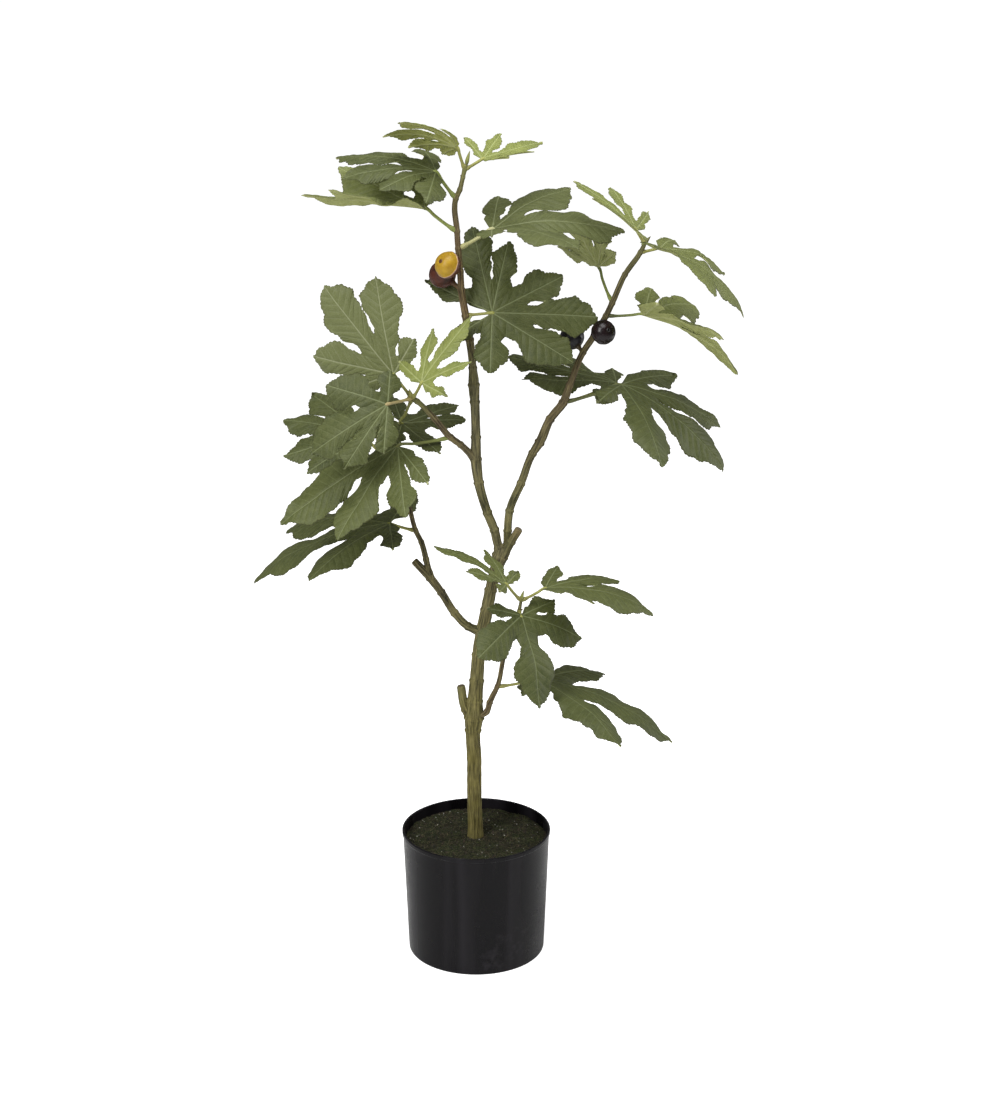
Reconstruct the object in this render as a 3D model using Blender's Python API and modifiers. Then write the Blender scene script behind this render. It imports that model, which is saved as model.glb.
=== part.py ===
"""A young fig tree in a round plastic pot, made of separate solids.

The pot stands on z = 0 with its axis on Z.  The stems are tapering tubes that
spring from one another, so each route is given as steps from the joint where
it springs.  A leaf is a lobed sheet on a thin stalk, and both hang from a
point of a stem, so the whole crown follows the pot and the trunk.
"""
import math

import bmesh
import bpy
import numpy as np
from mathutils import Vector

# ---------------------------------------------------------------- sizes, metres
POT_HEIGHT = 0.140
POT_RIM_RADIUS = 0.080
POT_BASE_RADIUS = 0.0745
POT_WALL = 0.0016
POT_FLOOR = 0.0030
FOOT_ROUND = 0.0025         # rounding where the wall meets the floor
RIM_LIP = 0.0008            # how far the rim stands out from the wall
RIM_DEPTH = 0.0040
SOIL_BELOW_RIM = 0.012      # at the wall
SOIL_MOUND = 0.002          # rise of the soil towards the trunk
GAP = 0.0003                # left between pieces that touch
TRUNK_HEIGHT = 0.332        # from the soil to the fork
TRUNK_RADIUS = 0.0080       # along the plain stretch
BLADE_THICKNESS = 0.0008
STALK_RADIUS = 0.0013
FIG_RADIUS = 0.0130         # of the ripe yellow fig
MM = 0.001

SOIL_TOP = POT_HEIGHT - SOIL_BELOW_RIM + SOIL_MOUND

# ------------------------------------------------------------------------ stems
# The trunk's points are (x in mm, share of its height, share of its radius).
TRUNK = (
    (-1, 0.00, 1.03), (-2, 0.15, 0.99), (-2, 0.27, 0.99), (-3, 0.375, 1.05),
    (-2, 0.42, 1.28), (-1, 0.48, 1.04), (1, 0.55, 0.94), (3, 0.635, 0.87),
    (7, 0.715, 0.87), (12, 0.79, 0.83), (16, 0.855, 0.79), (21, 0.92, 0.79),
    (26, 0.97, 1.03), (29, 1.00, 0.99),
)
TRUNK_STUB = ((-5, 0, 2, 4.8), (-9, 0, 10, 4.8), (-14, 0, 37, 4.6))
FORK_STUB = ((0, -2, -10, 4.2), (9, -7, 8, 4.2), (17, -10, 23, 4.2))

# Every other stem is (parent, joint on it, points), and its points are
# (x, y, z, radius) in millimetres from that joint.
STEMS = {
    "left_leader": ("trunk", 13, (
        (-4, -1, 0, 4.4), (-9, 0, 19, 4.7), (-16, 1, 37, 4.7), (-25, 3, 69, 5.0),
        (-28, 4, 94, 5.7), (-28, 5, 118, 4.9), (-29, 7, 155, 4.9), (-30, 8, 173, 5.7),
        (-31, 8, 191, 4.1), (-34, 4, 221, 4.1), (-38, -4, 248, 3.8), (-42, -9, 275, 3.5),
        (-43, -10, 294, 3.3), (-45, -10, 317, 3.0), (-46, -9, 334, 3.0), (-47, -7, 367, 2.7),
        (-43, -7, 376, 2.5), (-40, -7, 388, 2.2), (-38, -7, 396, 2.2), (-36, -7, 402, 1.2),
    )),
    "right_leader": ("trunk", 13, (
        (4, 4, -1, 4.3), (5, 4, 17, 4.2), (7, 5, 38, 4.2), (19, 6, 68, 4.2),
        (31, 7, 100, 4.2), (38, 8, 111, 4.9), (49, 9, 136, 4.4), (62, 10, 153, 4.4),
        (69, 11, 172, 3.6), (82, 10, 206, 3.3), (93, 7, 224, 3.3), (105, 3, 246, 3.1),
        (111, 0, 260, 3.0), (123, -6, 290, 2.8), (138, -12, 314, 2.5), (142, -14, 323, 2.0),
    )),
    "left_branch": ("left_leader", 4, (
        (0, 0, 0, 3.6), (-16, -7, 18, 3.4), (-26, -12, 27, 3.4), (-42, -21, 49, 3.1),
        (-59, -29, 69, 2.8), (-64, -31, 73, 3.1),
    )),
    "lower_left_branch": ("trunk", 8, (
        (0, 0, 0, 4.3), (-15, 1, 6, 4.3), (-29, 3, 20, 4.2), (-43, 6, 42, 4.2),
        (-55, 8, 58, 4.5), (-72, 11, 76, 4.0),
    )),
    "lower_left_twig": ("lower_left_branch", 4, (
        (0, 0, 0, 3.2), (-4, 3, 19, 3.2), (-9, 7, 37, 2.9), (-15, 10, 49, 2.6),
        (-21, 14, 71, 2.5), (-28, 19, 94, 2.4), (-33, 23, 114, 2.1),
    )),
    "lower_right_twig": ("trunk", 4, (
        (0, 0, 0, 3.2), (14, -7, 10, 3.2), (17, -9, 21, 3.2), (25, -14, 41, 2.7),
        (35, -22, 87, 2.4), (43, -25, 103, 2.1), (48, -31, 132, 2.1), (50, -32, 144, 1.6),
    )),
}

# ----------------------------------------------------------------------- leaves
# Each leaf is (stem, joint, blade base in mm from that joint,
#               (heading, pitch, roll) of the midrib in degrees,
#               (fold of the halves, droop towards the tips) in degrees,
#               depth of the notches as a share of the shorter lobe beside,
#               lobes from left to right as (angle in degrees, length, half width in mm)).
LEAVES = {
    "top_left_leaf": (
        "left_leader", 18, (-7, -5, 23), (165, 30, 35), (5, 50), 0.35,
        ((70, 45, 9), (30, 72, 14), (-5, 78, 16), (-35, 61, 12), (-65, 34, 7))),
    "top_right_leaf": (
        "left_leader", 18, (18, 7, 10), (35, 10, 10), (20, 10), 0.30,
        ((85, 38, 5), (35, 53, 7), (5, 80, 11), (-50, 55, 8), (-85, 42, 6))),
    "upper_left_leaf": (
        "left_leader", 15, (-20, 2, 27), (195, 15, -20), (5, 35), 0.35,
        ((75, 62, 16), (35, 76, 18), (5, 96, 22), (-25, 108, 25), (-85, 62, 15))),
    "folded_left_leaf": (
        "left_leader", 14, (-32, -3, 25), (170, 5, -10), (30, 5), 0.40,
        ((80, 64, 14), (40, 109, 24), (15, 124, 27), (-25, 109, 24), (-75, 59, 13))),
    "upper_right_leaf": (
        "left_leader", 13, (34, 10, 19), (-5, 10, 10), (20, 35), 0.30,
        ((85, 69, 15), (50, 126, 25), (10, 140, 29), (-45, 134, 29), (-85, 64, 15))),
    "middle_leaf": (
        "left_leader", 10, (27, -2, 3), (-5, 0, 65), (0, 10), 0.45,
        ((155, 77, 9), (105, 96, 20), (80, 77, 15), (30, 82, 20), (0, 108, 25),
         (-30, 97, 23), (-90, 62, 18), (-145, 54, 10))),
    "back_right_leaf": (
        "right_leader", 12, (-12, 50, 28), (210, 50, 15), (10, 0), 0.50,
        ((65, 38, 8), (40, 60, 12), (10, 70, 15), (-40, 70, 16), (-65, 56, 12))),
    "young_right_leaf": (
        "right_leader", 15, (-9, -4, 15), (165, 40, 0), (20, 20), 0.30,
        ((110, 45, 5), (45, 72, 9), (-10, 83, 10), (-40, 66, 8), (-85, 46, 5))),
    "drooping_right_leaf": (
        "right_leader", 14, (19, 2, 4), (-15, -15, -5), (20, 55), 0.40,
        ((85, 62, 9), (45, 101, 15), (15, 121, 18), (-40, 110, 17), (-100, 57, 9))),
    "folded_right_leaf": (
        "right_leader", 11, (38, -3, 3), (5, -15, 0), (30, 40), 0.40,
        ((80, 63, 13), (50, 109, 22), (-10, 120, 24), (-40, 103, 21), (-90, 64, 13))),
    "wide_right_leaf": (
        "right_leader", 7, (61, 15, 16), (-30, -20, 5), (10, 40), 0.35,
        ((75, 89, 18), (35, 124, 25), (10, 143, 29), (-35, 126, 25), (-85, 57, 11))),
    "inner_right_leaf": (
        "right_leader", 7, (57, 46, 10), (175, 15, -15), (-5, 5), 0.50,
        ((70, 42, 10), (20, 103, 20), (0, 120, 22), (-20, 103, 20), (-80, 42, 10))),
    "wide_left_leaf": (
        "left_branch", 5, (-20, 22, 20), (175, 45, -95), (5, 15), 0.45,
        ((65, 66, 17), (35, 87, 22), (-5, 115, 28), (-35, 103, 26), (-75, 45, 12))),
    "young_left_leaf": (
        "left_branch", 5, (10, -23, 22), (20, 50, 20), (5, 10), 0.35,
        ((85, 44, 6), (35, 63, 8), (5, 85, 11), (-40, 61, 8), (-85, 45, 6))),
    "front_left_leaf": (
        "left_branch", 5, (-24, -28, 1), (185, -10, -65), (10, 35), 0.42,
        ((75, 52, 14), (45, 82, 20), (20, 97, 25), (-30, 68, 22), (-105, 36, 12))),
    "back_left_leaf": (
        "left_branch", 5, (-13, 50, -39), (0, 0, 25), (5, 10), 0.40,
        ((105, 44, 9), (30, 68, 14), (10, 68, 14), (-50, 64, 13), (-100, 37, 8))),
    "hanging_left_leaf": (
        "left_branch", 2, (-54, -14, -5), (215, -35, -20), (5, 15), 0.42,
        ((75, 66, 11), (50, 91, 17), (10, 119, 22), (-20, 147, 26), (-110, 44, 12))),
    "far_left_leaf": (
        "lower_left_twig", 6, (-35, 7, 31), (155, 20, -25), (0, 20), 0.40,
        ((70, 76, 17), (45, 88, 19), (10, 96, 21), (-20, 96, 21), (-110, 50, 11))),
    "low_left_leaf": (
        "lower_left_twig", 3, (-28, 7, 6), (180, -5, -10), (10, 40), 0.40,
        ((95, 68, 12), (45, 123, 22), (0, 166, 30), (-30, 146, 26), (-110, 75, 14))),
    "small_front_leaf": (
        "lower_right_twig", 7, (-15, -14, 23), (170, 40, -5), (10, 25), 0.35,
        ((85, 32, 6), (40, 56, 9), (5, 86, 13), (-40, 52, 9), (-95, 35, 6))),
    "low_right_leaf": (
        "lower_right_twig", 7, (25, 12, 10), (-10, 0, -5), (20, 40), 0.40,
        ((85, 57, 10), (45, 105, 18), (20, 128, 22), (-45, 87, 15), (-65, 58, 10))),
    "front_right_leaf": (
        "lower_right_twig", 6, (2, -11, -1), (-60, -40, -10), (10, 30), 0.35,
        ((105, 52, 13), (65, 79, 20), (-5, 103, 26), (-60, 86, 21), (-105, 42, 11))),
    "lowest_right_leaf": (
        "lower_right_twig", 3, (41, -1, 9), (-5, -5, 0), (10, 40), 0.40,
        ((90, 50, 12), (45, 106, 18), (0, 165, 28), (-45, 147, 25), (-100, 50, 12))),
}
YOUNG = ("top_left_leaf", "top_right_leaf", "young_right_leaf", "young_left_leaf",
         "drooping_right_leaf")
BACK_SPREAD = 30            # degrees from an outer lobe to the notch at the stalk
BACK_SPREADS = {"middle_leaf": 6}
BACK_NOTCH = 0.30           # that notch's depth as a share of the outer lobe
LOBE_SPACING = 0.93         # how near a lobe may come to the line half way to the next
FOLD_ROUNDING = 0.05        # rounding of the fold as a share of the midrib
VEIN_STEPS = (0.30, 0.52, 0.72, 0.89)
MARGIN_STEPS = (0.0, 0.28, 0.56, 0.82)

# ------------------------------------------------------------------------- figs
# Each fig is (stem, joint, way out from the stem, neck in mm, size as a share of FIG_RADIUS).
FIGS = {
    "yellow_fig": ("left_leader", 12, (-13, -16, 10), 6, 1.0),
    "plum_fig": ("left_leader", 11, (-20, 9, 15), 8, 1.1),
    "purple_fig": ("right_leader", 10, (10, -20, 9), 6, 0.97),
    "black_fig": ("right_leader", 9, (-11, 9, 14), 4, 1.0),
}

# --------------------------------------------------------------------- finishes
FINISHES = {
    "pot": ((0.012, 0.011, 0.013), 0.35),
    "soil": ((0.020, 0.022, 0.012), 0.95),
    "trunk": ((0.17, 0.15, 0.06), 0.75),
    "stem": ((0.085, 0.075, 0.035), 0.75),
    "stalk": ((0.33, 0.36, 0.12), 0.60),
    "leaf": ((0.075, 0.115, 0.045), 0.65),
    "young_leaf": ((0.28, 0.34, 0.11), 0.65),
    "yellow_fig": ((0.62, 0.36, 0.03), 0.35),
    "plum_fig": ((0.10, 0.025, 0.020), 0.35),
    "purple_fig": ((0.020, 0.008, 0.012), 0.25),
    "black_fig": ((0.012, 0.010, 0.014), 0.30),
}


def finish(name):
    """The named material, made the first time that it is asked for."""
    known = bpy.data.materials.get(name)
    if known:
        return known
    colour, roughness = FINISHES[name]
    material = bpy.data.materials.new(name)
    material.use_nodes = True
    shader = material.node_tree.nodes["Principled BSDF"]
    shader.inputs["Base Color"].default_value = (*colour, 1.0)
    shader.inputs["Roughness"].default_value = roughness
    shader.inputs["Metallic"].default_value = 0.0
    return material


def add_object(name, data, material):
    """An object of its own in the tree's collection."""
    thing = bpy.data.objects.new(name, data)
    bpy.data.collections["potted_fig_tree"].objects.link(thing)
    data.materials.append(finish(material))
    return thing


def turned(name, profile, steps, material):
    """A profile of (radius, height) points, outer side first and downwards, turned round Z."""
    mesh = bpy.data.meshes.new(name)
    points = [(radius, 0.0, height) for radius, height in profile]
    edges = [(i, i + 1) for i in range(len(points) - 1)]
    if profile[0][0] > 0.0 or profile[-1][0] > 0.0:
        edges.append((len(points) - 1, 0))
    mesh.from_pydata(points, edges, [])
    thing = add_object(name, mesh, material)
    screw = thing.modifiers.new("turn", "SCREW")
    screw.axis = "Z"
    screw.steps = steps
    screw.render_steps = steps
    screw.use_merge_vertices = True
    screw.merge_threshold = 0.00001
    screw.use_smooth_shade = True
    return thing


def tube(name, points, material):
    """A round bar with filled ends along (position, radius) points."""
    curve = bpy.data.curves.new(name, "CURVE")
    curve.dimensions = "3D"
    curve.bevel_depth = 1.0
    curve.bevel_resolution = 2
    curve.use_fill_caps = True
    spline = curve.splines.new("POLY")
    spline.points.add(len(points) - 1)
    for knot, (place, radius) in zip(spline.points, points):
        knot.co = (*place, 1.0)
        knot.radius = radius
    return add_object(name, curve, material)


def as_mesh(thing):
    """The same piece as a welded mesh, which can be cut and joined."""
    bpy.context.view_layer.update()
    seen = thing.evaluated_get(bpy.context.evaluated_depsgraph_get())
    mesh = bpy.data.meshes.new_from_object(seen)
    name = thing.name
    where = thing.matrix_world.copy()
    bpy.data.objects.remove(thing)
    work = bmesh.new()
    work.from_mesh(mesh)
    bmesh.ops.remove_doubles(work, verts=work.verts, dist=0.000001)
    bmesh.ops.recalc_face_normals(work, faces=work.faces)
    work.to_mesh(mesh)
    work.free()
    piece = bpy.data.objects.new(name, mesh)
    piece.matrix_world = where
    bpy.data.collections["potted_fig_tree"].objects.link(piece)
    return piece


def add_cutter(thing):
    """Puts a piece with the cutters, which are not part of the tree."""
    bpy.data.collections["potted_fig_tree"].objects.unlink(thing)
    bpy.data.collections["cutters"].objects.link(thing)
    thing.hide_render = True
    thing.display_type = "WIRE"
    return thing


def combine(piece, operation, other):
    """A Boolean modifier that joins or cuts with another piece."""
    change = piece.modifiers.new(other.name, "BOOLEAN")
    change.operation = operation
    change.solver = "EXACT"
    change.object = other


# --------------------------------------------------------------------- pot, soil
def wall_radius(height):
    """Outer radius of the pot's straight wall at a height."""
    return POT_BASE_RADIUS + (POT_RIM_RADIUS - POT_BASE_RADIUS) * height / POT_HEIGHT


def make_pot():
    """One moulded shell: a flat floor, a slightly flared wall and a thin rim."""
    rim = POT_RIM_RADIUS + RIM_LIP
    below = POT_HEIGHT - RIM_DEPTH
    turned("pot", (
        (rim - RIM_LIP / 2, POT_HEIGHT),
        (rim, POT_HEIGHT - RIM_LIP / 2),
        (rim, below),
        (wall_radius(below), below - RIM_LIP),
        (wall_radius(FOOT_ROUND), FOOT_ROUND),
        (wall_radius(0) - FOOT_ROUND * 0.3, FOOT_ROUND * 0.3),
        (wall_radius(0) - FOOT_ROUND, 0.0),
        (0.0, 0.0),
        (0.0, POT_FLOOR),
        (wall_radius(POT_FLOOR) - POT_WALL - FOOT_ROUND, POT_FLOOR),
        (wall_radius(POT_FLOOR + FOOT_ROUND) - POT_WALL, POT_FLOOR + FOOT_ROUND),
        (wall_radius(POT_HEIGHT) - POT_WALL, POT_HEIGHT),
    ), 48, "pot")


def make_soil():
    """A plug of soil that fills the pot round the buried foot of the trunk."""
    hole = TRUNK_RADIUS * TRUNK[0][2] + abs(TRUNK[0][0]) * MM + GAP
    edge = SOIL_TOP - SOIL_MOUND
    low = POT_FLOOR + FOOT_ROUND
    turned("soil", (
        (hole, SOIL_TOP),
        (0.4 * POT_RIM_RADIUS, SOIL_TOP - 0.25 * SOIL_MOUND),
        (wall_radius(edge) - POT_WALL - GAP, edge),
        (wall_radius(low) - POT_WALL - GAP, low),
        (wall_radius(POT_FLOOR) - POT_WALL - FOOT_ROUND - GAP, POT_FLOOR + GAP),
        (hole, POT_FLOOR + GAP),
    ), 40, "soil")


# ------------------------------------------------------------------------- stems
def trunk_points():
    """The trunk's points above the soil, as (position, radius)."""
    return [(Vector((x * MM, 0.0, SOIL_TOP + share * TRUNK_HEIGHT)), thick * TRUNK_RADIUS)
            for x, share, thick in TRUNK]


def routed(joint, route):
    """A route in millimetres from a joint, as (position, radius) in the world."""
    return [(joint + Vector((x, y, z)) * MM, radius * MM) for x, y, z, radius in route]


def stem_routes():
    """Every stem's points, each worked out from the stem that it springs from."""
    routes = {"trunk": trunk_points()}
    for name, (parent, joint, route) in STEMS.items():
        routes[name] = routed(routes[parent][joint][0], route)
    return routes


def make_trunk(routes):
    """The trunk, its buried foot and its two pruned stubs, grown together."""
    foot = (routes["trunk"][0][0].copy(), routes["trunk"][0][1])
    foot[0].z = POT_FLOOR + GAP
    trunk = as_mesh(tube("trunk", [foot] + routes["trunk"], "trunk"))
    for name, joint, route in (("trunk_stub", 4, TRUNK_STUB), ("fork_stub", 13, FORK_STUB)):
        place = routes["trunk"][joint][0]
        stub = add_cutter(as_mesh(tube(name, routed(place, route), "trunk")))
        combine(trunk, "UNION", stub)


def make_stem(name, routes):
    """A stem whose foot is cut to fit the stem that it springs from."""
    parent = STEMS[name][0]
    stem = as_mesh(tube(name, routes[name], "stem"))
    sleeve = [(place, radius + 1.5 * GAP) for place, radius in routes[parent]]
    beyond = (sleeve[-1][0] - sleeve[-2][0]).normalized() * 1.5 * GAP
    sleeve.append((sleeve[-1][0] + beyond, sleeve[-1][1]))
    combine(stem, "DIFFERENCE", add_cutter(as_mesh(tube(name + "_seat", sleeve, "stem"))))


def start_on(routes, stem, joint, target, radius):
    """Where a thin bar towards target starts, just clear of the stem's surface."""
    route = routes[stem]
    place, thick = route[joint]
    ahead = route[min(joint + 1, len(route) - 1)][0]
    along = (ahead - route[joint - 1][0]).normalized()
    way = (target - place).normalized()
    across = max(0.35, math.sqrt(max(0.0, 1.0 - way.dot(along) ** 2)))
    return place + way * ((thick + GAP + radius * abs(way.dot(along))) / across)


# ------------------------------------------------------------------------ leaves
def turn_matrix(heading, pitch, roll):
    """Turns a leaf frame (midrib X, left Y, upper face Z) to its place in the world."""
    a, b, c = np.radians((heading, pitch, roll))
    about_z = np.array(((np.cos(a), -np.sin(a), 0), (np.sin(a), np.cos(a), 0), (0, 0, 1)))
    about_y = np.array(((np.cos(b), 0, -np.sin(b)), (0, 1, 0), (np.sin(b), 0, np.cos(b))))
    about_x = np.array(((1, 0, 0), (0, np.cos(c), -np.sin(c)), (0, np.sin(c), np.cos(c))))
    return about_z @ about_y @ about_x


def bent(flat, fold, droop, midrib):
    """Flat leaf points folded up along the midrib, then drooping away from the base.

    The fold lifts a point by its distance from the midrib times the sine of the
    angle, rounded at the midrib.  The droop turns every line from the base into
    an arc of the same length.
    """
    angle = np.radians(fold)
    rounding = FOLD_ROUNDING * midrib
    side = flat[:, 1] * np.cos(angle)
    lift = (np.hypot(flat[:, 1], rounding) - rounding) * np.sin(angle)
    reach = np.maximum(np.hypot(flat[:, 0], side), 1e-9)
    curl = np.radians(droop) / midrib + 1e-6
    shrink = np.sin(curl * reach) / (curl * reach)
    drop = (1.0 - np.cos(curl * reach)) / curl
    return np.column_stack((flat[:, 0] * shrink, side * shrink, lift - drop))


def margin(notch, length, half_width, half):
    """Points of a lobe's free edge from its notch towards its tip, in the lobe's frame.

    The lobe keeps to its own side of the line half way to the next lobe.
    """
    slope = math.tan(math.radians(min(half, 80.0)))
    points = []
    for step in MARGIN_STEPS:
        swell = min(1.0, step / 0.5)
        swell = swell * swell * (3.0 - 2.0 * swell)
        tail = max(0.0, (step - 0.5) / 0.5)
        reach = notch[0] + (length - notch[0]) * step
        width = notch[1] + (half_width - notch[1]) * swell
        width *= (1.0 - tail ** 2.2) ** 0.8
        if step > 0.0:
            width = min(width, LOBE_SPACING * slope * reach)
        points.append((reach, width))
    return points


def blade_sheet(name):
    """The flat blade: its points in metres and its faces.

    Each lobe has a vein from the base to its tip and two strips beside it.  A
    strip's outer edge runs from the base along the line half way to the next
    lobe, as far as the notch, and then along the lobe's free margin.
    """
    cut, lobes = LEAVES[name][5:7]
    back = BACK_SPREADS.get(name, BACK_SPREAD)
    points = [(0.0, 0.0)]
    faces = []
    shared = None
    for number, (angle, length, half_width) in enumerate(lobes):
        turn = np.radians(angle)
        rotate = np.array(((np.cos(turn), -np.sin(turn)), (np.sin(turn), np.cos(turn))))
        vein = len(points)
        points += [tuple(rotate @ (share * length * MM, 0.0)) for share in VEIN_STEPS + (1.0,)]
        for side in (1, -1):
            beside = number - side
            if 0 <= beside < len(lobes):
                half = abs(lobes[beside][0] - angle) / 2
                depth = cut * min(length, lobes[beside][1])
            else:
                half = back
                depth = BACK_NOTCH * length
            notch = (depth * math.cos(math.radians(half)), depth * math.sin(math.radians(half)))
            edge = []
            free = margin(notch, length, half_width, half if half != back else 80.0)
            for step, (reach, width) in enumerate(free):
                if step == 0 and side == 1 and shared is not None:
                    edge.append(shared)
                    continue
                edge.append(len(points))
                points.append(tuple(rotate @ (reach * MM, side * width * MM)))
            if side == -1:
                shared = edge[0]
            strip = [(0, vein, edge[0])]
            for i in range(len(edge) - 1):
                strip.append((vein + i, vein + i + 1, edge[i + 1], edge[i]))
            strip.append((vein + len(edge) - 1, vein + len(edge), edge[-1]))
            faces += [face if side == 1 else face[::-1] for face in strip]
    return np.array(points), faces


def make_leaf(name, routes):
    """A leaf's blade, and the stalk that carries it from its stem."""
    stem, joint, offset, turns, (fold, droop), _, lobes = LEAVES[name]
    base = routes[stem][joint][0] + Vector(offset) * MM
    midrib = min(lobes, key=lambda lobe: abs(lobe[0]))[1] * MM
    flat, faces = blade_sheet(name)
    turn = turn_matrix(*turns)
    points = bent(flat, fold, droop, midrib) @ turn.T + np.array(base)
    mesh = bpy.data.meshes.new(name)
    mesh.from_pydata([tuple(point) for point in points], [], faces)
    mesh.shade_smooth()
    blade = add_object(name, mesh, "young_leaf" if name in YOUNG else "leaf")
    thicken = blade.modifiers.new("thickness", "SOLIDIFY")
    thicken.thickness = BLADE_THICKNESS
    thicken.offset = 0.0

    start = routes[stem][joint][0]
    face = Vector(turn[:, 2])
    clear = STALK_RADIUS + BLADE_THICKNESS / 2 + GAP
    side = 1.0 if (start - base).dot(face) > 0.0 else -1.0
    end = base + face * (side * clear)
    foot = start_on(routes, stem, joint, end, STALK_RADIUS)
    rise = face * (side * 0.06 * (end - foot).length)
    route = [(foot, STALK_RADIUS * 1.15), (foot.lerp(end, 0.35) + rise, STALK_RADIUS),
             (foot.lerp(end, 0.7) + rise, STALK_RADIUS), (end, STALK_RADIUS)]
    tube(name.replace("leaf", "stalk"), route, "stalk")


# -------------------------------------------------------------------------- figs
def make_fig(name, routes):
    """A round fruit: a short neck at the stem, a full body and a small eye at its end."""
    stem, joint, way, neck, share = FIGS[name]
    size = FIG_RADIUS * share
    neck *= MM
    way = Vector(way).normalized()
    place = routes[stem][joint][0]
    profile = (
        (0.00, 1.80), (0.10, 1.86), (0.24, 1.90), (0.62, 1.76), (0.90, 1.40), (1.00, 0.98),
        (0.93, 0.60), (0.70, 0.28), (0.38, 0.08), (0.20, 0.00), (0.00, 0.00),
    )
    outline = [(radius * size, neck + height * size) for radius, height in profile[:-1]]
    outline += [(0.20 * size, 0.0), (0.0, 0.0)]
    fig = turned(name, outline, 16, name)
    fig.location = start_on(routes, stem, joint, place + way, 0.2 * size)
    fig.rotation_euler = way.to_track_quat("Z", "Y").to_euler()


def main():
    for thing in list(bpy.data.objects):
        bpy.data.objects.remove(thing)
    for name in ("potted_fig_tree", "cutters"):
        bpy.context.scene.collection.children.link(bpy.data.collections.new(name))
    routes = stem_routes()
    make_pot()
    make_soil()
    make_trunk(routes)
    for name in STEMS:
        make_stem(name, routes)
    for name in LEAVES:
        make_leaf(name, routes)
    for name in FIGS:
        make_fig(name, routes)


main()
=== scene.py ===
"""The looks of a young fig tree in a black pot: pot, soil, stems, leaves and figs."""

import math

import bpy
import numpy as np
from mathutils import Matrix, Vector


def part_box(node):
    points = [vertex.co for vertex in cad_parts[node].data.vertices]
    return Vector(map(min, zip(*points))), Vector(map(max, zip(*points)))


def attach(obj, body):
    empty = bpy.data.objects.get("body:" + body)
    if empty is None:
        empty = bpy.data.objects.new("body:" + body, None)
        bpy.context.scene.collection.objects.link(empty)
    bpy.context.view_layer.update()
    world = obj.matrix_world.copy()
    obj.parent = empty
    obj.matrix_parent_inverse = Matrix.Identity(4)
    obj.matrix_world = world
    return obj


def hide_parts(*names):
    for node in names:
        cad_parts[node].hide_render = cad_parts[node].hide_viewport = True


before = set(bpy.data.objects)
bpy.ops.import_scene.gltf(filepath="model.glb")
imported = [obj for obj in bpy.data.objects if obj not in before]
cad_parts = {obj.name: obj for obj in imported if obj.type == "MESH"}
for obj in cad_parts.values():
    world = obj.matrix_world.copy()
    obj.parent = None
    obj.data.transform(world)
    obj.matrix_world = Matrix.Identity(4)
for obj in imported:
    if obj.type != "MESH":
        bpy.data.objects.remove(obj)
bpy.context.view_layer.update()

# ---------------------------------------------------------------- floor, light, camera
# The tree stands on a plain white floor in an even white room, as in a small
# studio.  A broad lamp hangs in front on the left, a slim one on the right and
# a wide one above.  Floor and room look white to the camera and light softly.

FLOOR_SIZE = 60.0
ROOM_LIGHT = 0.20
FLOOR_GLOW = 0.85               # added to the floor where the camera sees it
CAMERA_PLACE = (0.026, -2.27, 1.18)
CAMERA_PITCH = 17.63            # degrees below level
CAMERA_LENS = 74.2

# Each lamp is (place, size, power, aimed at).
LAMPS = {
    "left_lamp": ((-1.3, -1.8, 1.9), (0.9, 1.8), 45.0, (0.0, 0.0, 0.45)),
    "right_lamp": ((1.9, 0.5, 1.2), (0.5, 1.8), 18.0, (0.0, 0.0, 0.40)),
    "top_lamp": ((0.1, -0.5, 2.6), (1.4, 1.4), 36.0, (0.0, 0.0, 0.5)),
}


def lit_for_camera(tree, seen, otherwise, output):
    """Shows the camera one shader and every other ray a second one."""
    rays = tree.nodes.new("ShaderNodeLightPath")
    mix = tree.nodes.new("ShaderNodeMixShader")
    tree.links.new(rays.outputs["Is Camera Ray"], mix.inputs[0])
    tree.links.new(otherwise, mix.inputs[1])
    tree.links.new(seen, mix.inputs[2])
    tree.links.new(mix.outputs[0], output)


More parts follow.
